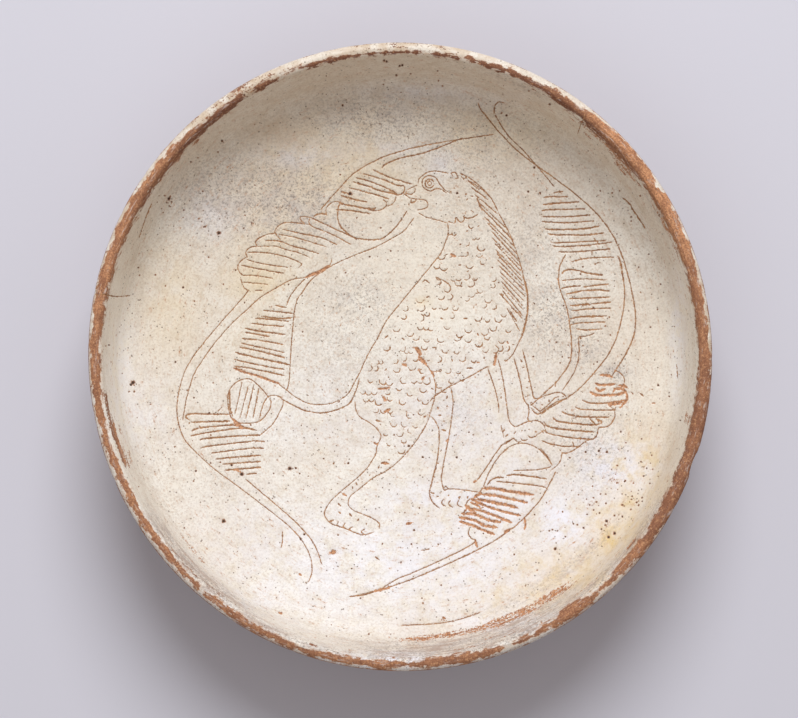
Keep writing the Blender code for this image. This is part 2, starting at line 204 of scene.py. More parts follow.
# The drawing, region by region, in grid steps right of and above its middle
FINE_LINES = {
    "head": [
        [(17, 174), (18, 178), (22, 182), (27, 185), (34, 186), (42, 185), (47, 184)],
        [(21, 174), (22, 178), (26, 181), (31, 181), (35, 179), (38, 174), (42, 169), (49, 164)],
        [(21, 174), (22, 170), (26, 167), (30, 166), (34, 168), (40, 168), (45, 164)],
        [(16, 172), (12, 170), (8, 168), (5, 165), (7, 163), (11, 163), (14, 166), (14, 169)],
        [(0, 164), (5, 162), (9, 159), (14, 158), (18, 158), (24, 157), (27, 153), (25, 149), (16, 147)],
        [(10, 158), (10, 154), (13, 155), (17, 158)], [(8, 154), (8, 151)],
        [(18, 144), (25, 140), (33, 138), (44, 135)], [(47, 136), (53, 134)], [(47, 122), (52, 123)],
        [(54, 134), (55, 140), (57, 137), (60, 135), (63, 137), (63, 140)],
        [(62, 141), (66, 139), (72, 140), (77, 143)], [(64, 142), (65, 146)], [(70, 147), (73, 145)],
        [(52, 181), (50, 184), (54, 185), (56, 182), (57, 179), (54, 179)],
        [(60, 181), (63, 178), (65, 181), (67, 177), (72, 174), (78, 170), (83, 166)],
        [(59, 184), (67, 180), (78, 172), (85, 165), (92, 156), (99, 142), (108, 125), (116, 105), (120, 92),
         (124, 76), (127, 58), (126, 38), (123, 25), (117, 12), (110, 0), (104, -3)],
        [(35, 80), (42, 77), (47, 74), (50, 70), (49, 66)], [(22, 75), (25, 77), (29, 74)],
        [(43, 101), (47, 103)], [(58, 101), (63, 101)],
    ],
    "body": [
        [(44, 135), (47, 133), (47, 122), (45, 116), (40, 104), (30, 91), (18, 76), (0, 54), (-14, 36),
         (-22, 20), (-33, 1), (-40, -15), (-46, -26), (-52, -37), (-64, -45), (-80, -48), (-94, -46),
         (-108, -38), (-122, -27)],
        [(-41, -22), (-45, -36), (-52, -48), (-70, -55), (-84, -56), (-100, -52), (-117, -43)],
        [(-45, -45), (-44, -53), (-40, -60), (-30, -66), (-22, -73), (-19, -80), (-23, -90), (-24, -97),
         (-29, -106), (-38, -117), (-60, -136), (-70, -146), (-75, -156), (-73, -162), (-68, -167),
         (-56, -171), (-44, -176), (-36, -178), (-25, -175)],
        [(26, -8), (30, -13), (35, -25), (35, -38), (32, -50), (27, -66), (19, -80), (10, -92), (0, -103),
         (-12, -113), (-28, -122), (-40, -132), (-48, -138), (-51, -144), (-51, -149), (-45, -154),
         (-35, -158), (-26, -162), (-20, -167), (-20, -171)],
        [(30, -44), (35, -39), (50, -29), (70, -19), (87, -9)], [(36, -15), (41, -12)],
    ],
    "legs": [
        [(31, -59), (36, -65), (39, -73), (39, -90), (37, -105), (33, -122), (30, -137), (34, -146),
         (40, -151)],
        [(51, -31), (53, -43), (52, -58), (49, -80), (44, -105), (42, -120), (43, -129), (45, -133),
         (48, -132), (60, -132), (79, -135)],
        [(44, -131), (46, -129), (48, -131), (46, -133)], [(44, -142), (42, -146), (46, -149)],
        [(51, -143), (49, -147), (53, -150)], [(60, -141), (58, -147), (63, -150)],
        [(-61, -165), (-62, -169), (-57, -171)], [(-54, -166), (-56, -170), (-51, -173)],
        [(-47, -170), (-50, -173), (-44, -176)], [(-34, -172), (-38, -175), (-34, -178)],
        [(-28, -176), (-25, -175)], [(87, -9), (91, -20), (95, -32), (98, -45), (99, -55)],
        [(101, -68), (104, -80)],
        [(98, -2), (102, -18), (105, -35), (107, -50), (109, -62), (112, -67), (116, -69), (121, -67),
         (128, -64), (134, -63), (140, -64), (144, -68), (146, -73)],
        [(113, -80), (117, -84), (121, -84)], [(121, -80), (123, -83), (128, -82)],
        [(128, -78), (131, -80), (137, -78)], [(137, -77), (141, -75)],
        [(114, -1), (118, -15), (121, -28), (124, -42), (129, -50), (128, -62), (131, -64)],
        [(122, 8), (126, -6), (129, -20), (132, -33), (135, -41), (145, -38), (155, -35), (161, -35),
         (165, -38), (167, -41), (163, -42), (155, -45), (148, -50), (140, -56), (136, -56), (131, -50)],
        [(131, -47), (139, -53), (142, -56)], [(141, -53), (149, -46), (155, -40), (159, -39)],
        [(105, -4), (109, -1)],
    ],
    "crown leaf": [
        [(-80, 147), (-70, 159), (-60, 170), (-50, 181), (-42, 187), (-30, 194), (-12, 202), (25, 212),
         (92, 223)],
        [(-19, 189), (-15, 193), (0, 199), (25, 205), (61, 219)],
        [(-74, 141), (-75, 147), (-72, 152), (-66, 155), (-60, 155)],
        [(-60, 155), (-63, 148), (-63, 138), (-60, 130), (-55, 125), (-48, 120), (-40, 118), (-30, 117),
         (-20, 118), (-12, 123), (-5, 130), (1, 138), (6, 146)],
        [(-61, 131), (-53, 123), (-48, 119)], [(3, 171), (4, 168), (2, 164), (-3, 162), (-7, 163)],
        [(-5, 160), (-6, 156), (-10, 152), (-14, 151)],
        [(-18, 157), (-15, 155), (-15, 151), (-20, 147), (-28, 146), (-33, 148)],
    ],
    "upper leaf": [
        [(-87, 140), (-84, 142), (-79, 143), (-75, 142)],
        [(-90, 139), (-97, 140), (-101, 139), (-99, 135), (-96, 134)],
        [(-91, 139), (-88, 138), (-75, 132), (-60, 125), (-50, 121), (-44, 117)],
        [(-91, 138), (-92, 134), (-88, 130), (-75, 125), (-62, 119), (-50, 112)],
        [(-92, 132), (-100, 133), (-110, 134), (-118, 133), (-123, 130), (-126, 125), (-124, 121),
         (-120, 117)],
        [(-118, 127), (-100, 123), (-80, 119), (-70, 115), (-64, 112)],
        [(-122, 122), (-110, 120), (-98, 117), (-85, 113), (-75, 110)],
        [(-126, 123), (-133, 122), (-140, 119), (-145, 115), (-144, 111), (-141, 109)],
        [(-135, 116), (-120, 115), (-110, 111), (-95, 107), (-82, 103)],
        [(-142, 110), (-125, 110), (-115, 107), (-100, 103), (-91, 99)],
        [(-144, 110), (-150, 109), (-154, 106), (-155, 103), (-153, 99)],
        [(-153, 104), (-140, 104), (-125, 102), (-110, 98), (-101, 94), (-99, 92), (-102, 89)],
        [(-154, 99), (-160, 95), (-163, 89), (-161, 84), (-157, 81), (-150, 81), (-140, 80), (-128, 78)],
        [(-154, 97), (-140, 93), (-113, 89)], [(-159, 91), (-145, 88), (-117, 83)],
        [(-160, 79), (-159, 74), (-156, 68), (-151, 66)], [(-158, 74), (-145, 73), (-133, 72)],
        [(-145, 66), (-138, 66)],
    ],
    "left stems": [
        [(13, 139), (8, 132), (2, 125), (-10, 118), (-25, 110), (-40, 104), (-63, 94), (-88, 81), (-108, 77),
         (-120, 71), (-140, 59), (-152, 48), (-172, 29), (-190, 7), (-205, -16), (-210, -30), (-214, -45),
         (-217, -64)],
        [(-152, 66), (-158, 58), (-180, 33), (-203, 5), (-212, -9), (-217, -20), (-221, -35), (-223, -50),
         (-222, -64), (-217, -80), (-208, -92), (-185, -113), (-155, -135), (-109, -171), (-92, -193),
         (-87, -211), (-90, -224), (-94, -226)],
        [(-154, -123), (-137, -137), (-110, -160), (-92, -178), (-84, -190), (-77, -208)],
        [(-85, 85), (-93, 80), (-101, 72), (-107, 65), (-111, 59), (-114, 51)],
        [(-69, 98), (-70, 93), (-75, 87), (-88, 78), (-97, 66), (-103, 57), (-106, 45), (-109, 10),
         (-111, -25), (-114, -34)],
    ],
    "knot": [
        [(-132, -40), (-136, -35), (-143, -28), (-150, -23), (-160, -24), (-168, -30), (-172, -38),
         (-172, -48), (-170, -58), (-165, -65), (-155, -67), (-144, -66), (-138, -63), (-131, -54),
         (-129, -46), (-132, -40)],
        [(-132, -40), (-136, -46), (-139, -56), (-141, -64)],
        [(-133, -40), (-125, -39), (-118, -42), (-117, -48), (-121, -57), (-126, -66), (-133, -73),
         (-140, -79)],
        [(-158, -26), (-165, -58)], [(-152, -30), (-160, -62)], [(-146, -28), (-154, -62)],
        [(-141, -32), (-147, -62)], [(-182, -55), (-178, -51)],
    ],
    "right stems": [
        [(77, 254), (79, 248), (84, 242), (99, 224), (116, 207), (137, 191), (158, 176), (175, 163),
         (195, 145), (209, 127), (219, 108), (227, 84), (234, 52), (235, 35), (233, 21), (226, 5), (220, -5),
         (213, -16)],
        [(103, 254), (98, 255), (94, 253), (93, 248), (94, 242), (106, 223), (122, 207), (138, 189),
         (153, 171)],
        [(223, 78), (224, 62), (221, 38), (213, 13), (202, -5), (181, -29), (165, -41), (150, -50),
         (141, -57)],
        [(165, 103), (159, 91), (158, 76), (160, 67), (167, 47), (171, 18), (171, 3), (168, -8), (158, -22),
         (148, -32), (131, -48)],
        [(194, 25), (187, 22), (180, 21), (178, 19), (179, 7), (177, -6), (172, -18), (162, -33)],
        [(193, 120), (198, 114)], [(191, 107), (191, 103)], [(197, 134), (200, 134)],
        [(194, 93), (196, 95), (200, 95)], [(155, -24), (155, -29)],
    ],
    "low leaves": [
        [(214, -12), (220, -15), (224, -20), (224, -27)], [(201, -16), (210, -19), (213, -16)],
        [(214, -52), (215, -58), (211, -66), (205, -69), (199, -70), (197, -77), (193, -81), (186, -83),
         (179, -89), (173, -93), (168, -95), (163, -95), (160, -92)],
        [(162, -95), (161, -102), (158, -107), (152, -112)], [(173, -84), (174, -89)],
        [(208, -47), (214, -51), (216, -49)],
        [(156, -114), (143, -139), (127, -158), (115, -169), (100, -180), (85, -189), (50, -206), (10, -223),
         (-20, -233), (-48, -240)],
        [(80, -135), (84, -129), (88, -118), (95, -105), (102, -96), (110, -89), (118, -86), (126, -86),
         (135, -89), (142, -94), (148, -101), (152, -107), (151, -109), (138, -112), (114, -113)],
        [(141, -91), (147, -98), (151, -105)],
        [(112, -82), (104, -86), (98, -93), (86, -111), (79, -121), (74, -125)],
        [(70, -171), (69, -176), (72, -181), (76, -184), (60, -194), (20, -213), (0, -221), (-12, -228),
         (-20, -233), (-35, -238), (-50, -240)],
        [(63, -156), (67, -152), (66, -148), (70, -142), (78, -140)], [(75, -153), (84, -150)],
    ],
    "wall": [
        [(-249, 152), (-256, 135), (-261, 118)], [(3, -268), (30, -267), (52, -264), (70, -259), (81, -255)],
        [(-310, 60), (-296, 61), (-284, 59), (-270, 60)], [(183, 241), (179, 233), (176, 224)],
        [(276, -6), (277, -20)], [(-117, -175), (-117, -185), (-118, -191)], [(22, -193), (30, -192)],
    ],
}
FIRM_LINES = {
    "crown leaf": [
        [(-28, 187), (-10, 179), (0, 176), (11, 173)], [(-38, 183), (-20, 178), (-5, 172), (3, 171)],
        [(-45, 179), (-30, 175), (-15, 169), (-5, 164)], [(-48, 175), (-35, 171), (-20, 166), (-4, 163)],
        [(-52, 169), (-40, 166), (-25, 162), (-12, 158)], [(-60, 165), (-53, 163)],
        [(-60, 161), (-45, 157), (-34, 155)], [(-62, 154), (-50, 151), (-30, 148), (-25, 149)],
        [(-65, 147), (-50, 146), (-30, 143)],
    ],
    "hanging leaf": [
        [(-125, 51), (-114, 49)], [(-137, 46), (-125, 45), (-107, 43)], [(-139, 40), (-120, 38), (-108, 39)],
        [(-145, 38), (-130, 37), (-112, 35)], [(-149, 33), (-130, 31), (-117, 30)],
        [(-155, 28), (-140, 25), (-115, 22)], [(-155, 24), (-131, 20)], [(-158, 18), (-140, 16), (-117, 12)],
        [(-159, 13), (-140, 9), (-116, 4)], [(-160, 9), (-140, 5), (-116, -1)],
        [(-165, 4), (-145, -1), (-111, -8)], [(-166, -3), (-150, -7), (-116, -13)],
        [(-166, -10), (-150, -12), (-116, -19)],
    ],
    "low left leaf": [
        [(-210, -64), (-214, -61), (-210, -58), (-190, -58), (-171, -58)],
        [(-211, -68), (-206, -66), (-170, -65)], [(-208, -75), (-200, -72), (-168, -69), (-150, -72)],
        [(-209, -80), (-195, -77), (-160, -72), (-143, -74)],
        [(-200, -84), (-190, -82), (-150, -79), (-140, -79)],
        [(-199, -92), (-190, -90), (-148, -85), (-135, -85)], [(-188, -97), (-150, -92), (-136, -92)],
        [(-184, -103), (-165, -101), (-139, -99)], [(-177, -108), (-139, -105)],
        [(-174, -114), (-139, -111)], [(-153, -118), (-143, -117)], [(-170, -34), (-170, -50), (-167, -60)],
    ],
    "right leaf": [
        [(153, 165), (157, 166), (162, 166)], [(142, 160), (150, 161), (167, 161)],
        [(142, 153), (150, 154), (178, 156)], [(141, 147), (150, 148), (184, 149)],
        [(142, 141), (165, 141), (189, 143)], [(141, 136), (165, 135), (193, 137)],
        [(144, 129), (155, 128), (182, 129), (199, 132)], [(147, 124), (155, 123), (185, 123), (203, 125)],
        [(150, 117), (155, 115), (197, 117), (205, 118)], [(152, 112), (160, 111), (190, 113), (211, 116)],
        [(158, 106), (175, 106), (209, 109)], [(171, 96), (178, 98), (190, 100), (213, 101)],
        [(161, 84), (164, 87), (172, 88), (192, 84), (202, 83)],
        [(162, 77), (168, 78), (186, 79), (205, 78)], [(161, 69), (168, 71), (180, 72)],
        [(183, 71), (208, 74)], [(166, 64), (182, 67)], [(183, 67), (197, 68), (209, 67)],
        [(169, 59), (190, 60), (210, 61)], [(170, 52), (189, 54)], [(191, 54), (210, 56)],
        [(171, 47), (190, 49), (210, 50)], [(170, 39), (180, 41), (206, 42)],
        [(170, 33), (180, 35), (205, 36)], [(176, 29), (185, 28), (202, 29)],
        [(217, 102), (219, 98), (221, 88), (223, 76)],
    ],
    "low right leaf": [
        [(182, -42), (190, -45), (205, -45), (226, -42)], [(175, -49), (180, -51), (190, -52), (216, -52)],
        [(162, -54), (170, -57), (185, -59), (209, -59)],
        [(153, -60), (160, -64), (190, -67), (199, -66), (202, -64), (196, -61)], [(190, -61), (195, -66)],
        [(144, -64), (149, -69), (167, -72), (194, -74)], [(143, -72), (150, -76), (172, -80), (192, -81)],
        [(142, -83), (150, -86), (160, -88), (180, -89)],
    ],
    "low leaf": [
        [(107, -118), (115, -117), (125, -118), (147, -121)],
        [(88, -127), (92, -122), (98, -120), (104, -120)],
        [(97, -124), (110, -125), (138, -128), (147, -130)], [(105, -87), (113, -81)],
    ],
    "mane": [
        [(76, 159), (81, 147)], [(110, 46), (116, 36)],
        [(125, 76), (127, 60), (127, 45), (124, 30), (121, 20)],
    ],
    "wall": [[(221, 160), (228, 154), (233, 146), (244, 130)]],
}
BROAD_LINES = {
    "hanging leaf": [
        [(-72, 91), (-80, 86), (-88, 82)], [(-85, 84), (-95, 79)],
        [(-166, -12), (-155, -16), (-144, -19), (-130, -24), (-121, -27)],
    ],
    "low left leaf": [[(-168, -62), (-158, -70)], [(-166, -67), (-157, -72)], [(-164, -113), (-159, -116)]],
    "low leaf": [
        [(105, -175), (111, -171)], [(125, -161), (126, -168), (125, -172)], [(-10, -231), (-24, -234)],
        [(76, -183), (78, -190)],
    ],
    "body": [
        [(31, -14), (34, -19)], [(96, 3), (94, -8)], [(-22, -32), (-10, -31)], [(-22, -88), (-26, -86)],
    ],
}
GOUGES = {
    "low right leaf": [
        [(200, -17), (207, -17), (212, -19)], [(195, -25), (200, -27), (215, -26)], [(219, -27), (227, -29)],
        [(196, -30), (199, -33), (205, -31)], [(190, -34), (197, -37), (207, -37), (220, -36), (226, -33)],
        [(213, -34), (215, -31), (222, -31), (226, -35), (227, -41), (223, -46), (220, -50)],
        [(208, -46), (216, -46), (222, -44)],
    ],
    "low leaf": [
        [(84, -131), (95, -131), (110, -134), (134, -137)],
        [(82, -137), (95, -138), (110, -141), (128, -145)], [(78, -142), (95, -145), (118, -150)],
        [(72, -142), (85, -148), (100, -153), (121, -158)],
        [(68, -151), (80, -153), (95, -158), (112, -165)], [(62, -156), (75, -157), (88, -162), (101, -165)],
        [(60, -160), (75, -163), (85, -168), (98, -170)], [(60, -164), (70, -167), (80, -171), (95, -177)],
        [(71, -145), (80, -149)], [(75, -139), (82, -136)], [(66, -148), (76, -156)],
        [(74, -125), (76, -123)],
    ],
}

# The mane: some of its strokes, from the inner end to the outer, how many there are in all, how far their
# ends are shaken, and their widths as shares of a fine one. Then the rings of the eye.
MANE = [
    (67, 176, 78, 168), (70, 170, 88, 157), (73, 164, 95, 145), (77, 157, 104, 132), (80, 150, 110, 120),
    (84, 140, 113, 111), (87, 133, 116, 104), (91, 124, 119, 95), (94, 112, 120, 85), (97, 99, 122, 74),
    (100, 87, 124, 62), (101, 74, 122, 50), (102, 61, 122, 38), (106, 49, 119, 27),
]
MANE_COUNT = 21
MANE_SHAKE = 0.45
MANE_WIDTHS = (0.75, 1.1)
IRIS = (28.5, 173.5)
IRIS_RADII = (4.4, 1.9)
IRIS_STEP = 45

# The beast's spotted coat: an outline to fill, and the spacing, rows and shake of its marks
COAT = [
    (56, 132), (46, 110), (30, 84), (8, 56), (-14, 24), (-28, 0), (-38, -22), (-38, -52), (-22, -66),
    (-12, -80), (-14, -96), (2, -94), (20, -66), (28, -44), (44, -34), (66, -22), (86, -10), (96, 0),
    (112, 14), (106, 44), (98, 78), (88, 106), (78, 132), (68, 138),
]
COAT_SPACING = 12.0
COAT_ROW = 0.87
COAT_SHAKE = 2.0

# The coat's marks. A draw below the first level makes a tick, one below the second a wave, else a cup.
# Turns and half sweeps are in degrees, widths and reaches in grid steps, sizes as shares of the radius.
TICKS_BELOW = 0.14
WAVES_BELOW = 0.24
WAVE_SIZE = 0.8
SPOT_RADIUS = 3.4
SPOT_SIZES = (0.7, 1.2)
SPOT_TURN = (4, 30)
SPOT_SWEEP = (65, 100)
SPOT_POINTS = (-1, -0.4, 0.3, 1)
SPOT_WIDTHS = (1.0, 1.6)
TICK_REACH = (1, 0.7)
DOT_REACH = 0.7
DOT_WIDTH = 2.3

# Single dots on the face, down the legs and in the coat
DOTS = [
    (50, 165), (56, 164), (65, 163), (58, 160), (71, 161), (53, 169), (66, 158), (-11, -103), (-21, -110),
    (-30, -118), (-43, -127), (-47, -131), (-60, -148), (-60, -156), (-49, -158), (-41, -163), (-33, -167),
    (-68, -164), (47, -40), (44, -43), (47, -49), (40, -58), (44, -64), (44, -73), (41, -94), (38, -106),
    (36, -112), (35, -120), (33, -136), (38, -139), (49, -138), (60, -140), (68, -140), (96, -14), (99, -22),
    (100, -31), (101, -40), (104, -73), (107, -78), (115, -75), (122, -73), (129, -72), (136, -74),
    (143, -74), (121, -3), (123, -10), (125, -21), (127, -30), (128, -38), (131, -45), (135, -49),
    (142, -47), (149, -43), (163, -39), (60, 71), (54, 51), (76, 64), (67, 86), (113, 13), (-14, 20),
]

# Scrapes and blots that show the clay: middle line and width in grid steps
BLOTS = [
    ([(15, 9), (18, 7), (20, 2)], 4.4), ([(19, 0), (23, -4), (26, -7)], 4.6), ([(50, 103), (55, 101)], 3.6),
    ([(3, -7), (6, -9)], 4.8), ([(22, -22), (24, -20)], 4.2), ([(-17, -40), (-15, -43)], 5.2),
    ([(-16, -55), (-10, -52)], 3.4), ([(-11, -107), (-18, -106)], 3.0), ([(-53, -139), (-57, -137)], 3.0),
    ([(38, -50), (38, -52)], 3.0), ([(24, -60), (26, -59)], 3.2), ([(18, -13), (19, -12)], 3.2),
    ([(46, -84), (48, -82)], 2.6), ([(77, 24), (78, 22)], 3.0), ([(107, 16), (108, 14)], 3.2),
    ([(77, -5), (79, -5)], 3.0), ([(157, 79), (158, 77)], 2.8), ([(-69, -196), (-64, -195)], 5.0),
    ([(7, -167), (12, -166)], 3.6), ([(-120, -256), (-117, -257)], 4.0), ([(252, -45), (255, -45)], 3.4),
    ([(-100, -217), (-98, -219)], 3.0), ([(240, -35), (243, -38)], 2.2), ([(44, -260), (46, -261)], 3.2),
    ([(142, -264), (143, -265)], 2.6), ([(-24, -200), (-20, -203)], 2.0), ([(231, -34), (233, -36)], 2.0),
]

# Holes where grit fell out of the slip, by radius in grid steps, and how many lesser ones are strewn about
PITS = {
    2.3: [(-182, 123), (-51, 163), (-110, -112), (-158, -118), (-176, -165), (-267, -27)],
    1.8: [(215, -175), (209, -179), (156, -191), (207, -163), (-269, -29)],
    1.4: [(-17.5, 296), (-15, 295), (-2, 290.6), (0.8, 291.2)],
    1.25: [
        (-271, -36), (-266, -36), (206, -167), (202, -171), (184, -170), (197, -144), (194, -152),
        (200, -155), (237, -144), (239, -147),
    ],
    1.5: [
        (-168, -109), (199, -93), (186, -94), (207, -94), (9, -89), (56, 164), (-232, 157), (258, -27),
        (23, -100), (57, -100), (133, 190), (127, 166), (148, 253), (105, 242), (-157, 261), (-179, 215),
    ],
    1.1: [
        (36, 286), (9, 283), (41, 271), (37, 276), (-18, 272), (179, -137), (147, -145), (153, -172),
        (150, -173), (158, -173), (166, -179), (174, -166), (178, -167), (163, -154), (206, -136),
        (201, -136), (194, -140), (190, -147), (248, 104), (238, 91), (260, 74), (240, 66), (257, 49),
        (250, 31), (147, 58), (210, 23), (252, -31), (269, -38), (-17, -187), (12, -187), (39, -187),
        (115, -197), (23, -241), (24, -246), (42, -228), (-30, -277), (-146, 171), (-149, 133), (-157, 128),
        (-197, 129), (-210, 194), (-203, 198), (-183, 204), (-192, 99), (-177, 72), (-235, 70), (-245, 81),
        (-165, 86), (-44, 139), (-31, 100), (-20, 129), (-10, 106), (-13, 97), (-55, 84), (-61, 182),
        (-156, 141), (-112, 72), (-206, 55), (-213, -34), (20, -151), (52, -177), (-76, -102), (84, -99),
        (69, -75), (130, -104), (135, -157), (153, -172), (84, -176), (162, 1), (197, -4), (133, 1),
        (170, -100), (139, 164), (129, 152), (137, 112), (136, 82), (134, 54), (139, 165), (199, 167),
        (211, 165), (218, 167), (239, 162), (230, 141), (230, 137), (216, 124), (163, 52), (205, 32),
        (209, 41), (-100, -117), (-126, -117), (-225, -91), (-206, -125), (182, 91), (-236, 160),
        (-229, 154), (-234, 153), (61, 71), (280, -62), (247, -110), (244, -118), (250, -125),
    ],
}
STREWN_PITS = 270
STREWN_REACH = 296
STREWN_SIZES = (0.55, 0.75, 1.05, 1.4)
STREWN_CHANCES = (0.45, 0.35, 0.16, 0.04)

# A pit's narrowest shape, its depth in metres for each grid step of radius, how dark the small ones are and
# from which radius all are black, and the rings of points round it as shares of the radius. Then the
# second hollow of the large ones: where it is, its size as a share, its depth and its darkness.
PIT_SQUASH = 0.7
PIT_DEPTH = 0.0003
PIT_DARKNESS = (0.5, 1.0)
BLACK_FROM = 1.4
PIT_POINTS = 6
PIT_RINGS = (0.9, 1.9)
LARGE_FROM = 2
SECOND_HOLLOW = (0.9, 0.3)
SECOND_SIZE = 0.8
SECOND_DEPTH = 0.0002
SECOND_DARKNESS = 0.8

# Clusters of pits: middle, spread in grid steps, and count. Then the range of their radii.
PIT_CLUSTERS = [
    ((235, -146), 7, 7), ((213, -119), 8, 8), ((194, -146), 6, 5), ((222, -138), 9, 6), ((213, -83), 10, 8),
    ((-232, 155), 7, 8), ((-205, -95), 20, 7), ((175, 10), 14, 8), ((200, 40), 16, 6), ((248, -110), 9, 7),
    ((-196, 128), 8, 4),
]
CLUSTER_SIZES = (0.7, 1.3)

# Wear of the lip by angle. The clay shows between two distances from the outline, in grid steps inwards.
# Then how patchy it is, how bright, from dark brown to orange, and how thin the slip outside it is.
LIP_WEAR = [
    (0, 1.4, 13.5, 0.3, 0.45, 0.9), (6, 2.6, 15, 0.3, 0.5, 0.9), (16, 3, 14.5, 0.3, 0.6, 0.6),
    (24, 0.8, 15, 0.2, 0.9, 0.2), (31, 0.2, 15.5, 0.2, 1.0, 0.1), (33.4, 6, 15.5, 0.2, 0.9, 0.0),
    (35.6, 0.2, 15, 0.2, 1.0, 0.1), (42, 1.0, 16.5, 0.15, 1.0, 0.1), (49, 1.6, 16.5, 0.15, 0.9, 0.2),
    (54, 4, 15.5, 0.25, 0.5, 0.5), (62, 6, 13.5, 0.3, 0.1, 0.6), (68, 6.5, 12.5, 0.4, 0.05, 0.5),
    (75, 7.6, 11, 0.35, 0.05, 0.6), (84, 8.6, 11.6, 0.3, 0.0, 0.9), (96, 9, 11.8, 0.3, 0.0, 0.9),
    (105, 8, 11.8, 0.3, 0.1, 0.5), (112, 9, 12.5, 0.4, 0.1, 0.8), (120, 9, 14, 0.45, 0.1, 1.0),
    (126, 8, 15.5, 0.45, 0.2, 1.0), (132, 6.5, 16.5, 0.35, 0.3, 0.9), (140, 4, 17, 0.2, 0.6, 0.7),
    (150, 3, 16, 0.25, 0.65, 0.7), (158, 1.5, 14, 0.25, 0.7, 0.8), (172, 1.5, 13.5, 0.3, 0.65, 0.4),
    (180, 1.5, 13, 0.3, 0.6, 0.4), (188, 1, 11.4, 0.25, 0.55, 0.5), (198, 2.6, 9.4, 0.3, 0.6, 0.1),
    (204, 3, 11, 0.3, 0.6, 0.1), (212, 3.2, 10.5, 0.2, 0.55, 0.1), (222, 3, 10, 0.15, 0.5, 0.2),
    (232, 2.4, 9, 0.15, 0.5, 0.2), (245, 1, 8.5, 0.15, 0.5, 0.3), (257, 1, 8.5, 0.2, 0.5, 0.3),
    (266, 2, 9, 0.4, 0.5, 0.2), (271.5, 3, 9.5, 0.5, 0.4, 0.2), (274, 1, 11.5, 0.4, 0.4, 0.1),
    (282.5, 1, 11.5, 0.4, 0.4, 0.1), (285, 2.5, 9, 0.5, 0.35, 0.1), (289, 3, 8.5, 0.5, 0.35, 0.1),
    (290.4, 7, 6, 0.3, 0.4, 0.1), (292.5, 3.5, 8, 0.5, 0.4, 0.1), (296, 4, 8, 0.5, 0.4, 0.1),
    (297.6, 3.5, 11, 0.4, 0.4, 0.1), (300.4, 4, 9, 0.5, 0.45, 0.1), (302, 0.5, 14.5, 0.2, 0.5, 0.2),
    (305.5, 0.5, 14.5, 0.2, 0.55, 0.2), (308, 2.5, 10, 0.5, 0.45, 0.2), (314, 2.5, 11, 0.6, 0.45, 0.2),
    (319, 1.5, 13, 0.35, 0.45, 0.3), (326, 0, 13.5, 0.15, 0.3, 0.5), (340, -4, 14, 0.15, 0.3, 0.5),
    (352, -4, 15, 0.25, 0.35, 0.5), (360, 1.4, 13.5, 0.3, 0.45, 0.9),
]

# Small nicks in the lip: count, range of lengths in metres, share of them on the outer side, and bite and
# height as shares of the length. Each is a scoop this many times as deep as its bite, and those on the
# inner side lie at this share of the lip's round.
NICK_COUNT = 70
NICK_LENGTHS = (0.0012, 0.0050)
NICKS_OUTSIDE = 0.72
NICK_BITES = (0.07, 0.14)
NICK_HEIGHT = 0.45
SCOOP = 3
INNER_NICK_LEVEL = 0.5

# The edge of the bare clay on the lip, in grid steps: how far two clouds move it, how far patches of slip
# reach in and from which level of their cloud, and its softness
EDGE_RUFFLE = 1.6
EDGE_CRUMBLE = 2.6
PATCH_REACH = 8.5
PATCH_LEVEL = 0.05
EDGE_SOFTNESS = 2

# Drips of slip down the outside, in metres, how much they are drawn out, and the depth of a chip that
# shows its clay
DRIP_LENGTH = 0.014
DRIP_SPREAD = 0.010
DRIP_CRUMBLE = 0.004
DRIP_STRETCH = (1, 1, 0.2)
DRIP_SOFTNESS = 0.0022
BROKEN_DEPTH = 0.0001

# Thin slip and painted shade on the far wall, which faces away from the light, from a height in metres above
# its foot, and thin slip on the lip by a cloud
THIN_AND_SHADED_WALL = 0.55
THIN_AND_SHADED_WALL_START = 0.003
THIN_AND_SHADED_WALL_RAMP = 0.005
LEAST_LIP_WIDTH = 7
COVER_LEVEL = 0.6
COVER_SPREAD = 2.4
LEAST_COVER = 0.1
CHAFING = 0.72

# The worn line round the outline, in grid steps, and how clouds break it
RIM_LINE = 0.2
RIM_LINE_REACH = 1.3
RIM_LINE_LEVEL = 0.8
RIM_LINE_SPREAD = 1.2

# Painted shade with darker clay at the lip's inner edge, by angle, strongest where it faces away from the
# light, and where that starts, in grid steps
INNER_EDGE_ANGLES = (0, 25, 38, 120, 150, 360)
INNER_EDGE_SHADE = (0.15, 0.15, 0.7, 0.6, 0.3, 0.15)
INNER_EDGE_START = 10
INNER_EDGE_RAMP = 3

# Brightness of the clay on the outside and within the lip, the looks of the outside, and the distances from
# the outline where streaks, the clay within the lip and the pale patches of paler slip and painted light
# begin
OUTSIDE_TONE = 0.45
TONE_SPREAD = 0.25
WITHIN_TONE = 0.9
OUTSIDE_THINNESS = 0.5
OUTSIDE_GRIME = 0.2
STREAKS_FROM = -1.5
WITHIN_LIP = 17
PALE_AND_LIT_FROM = 12
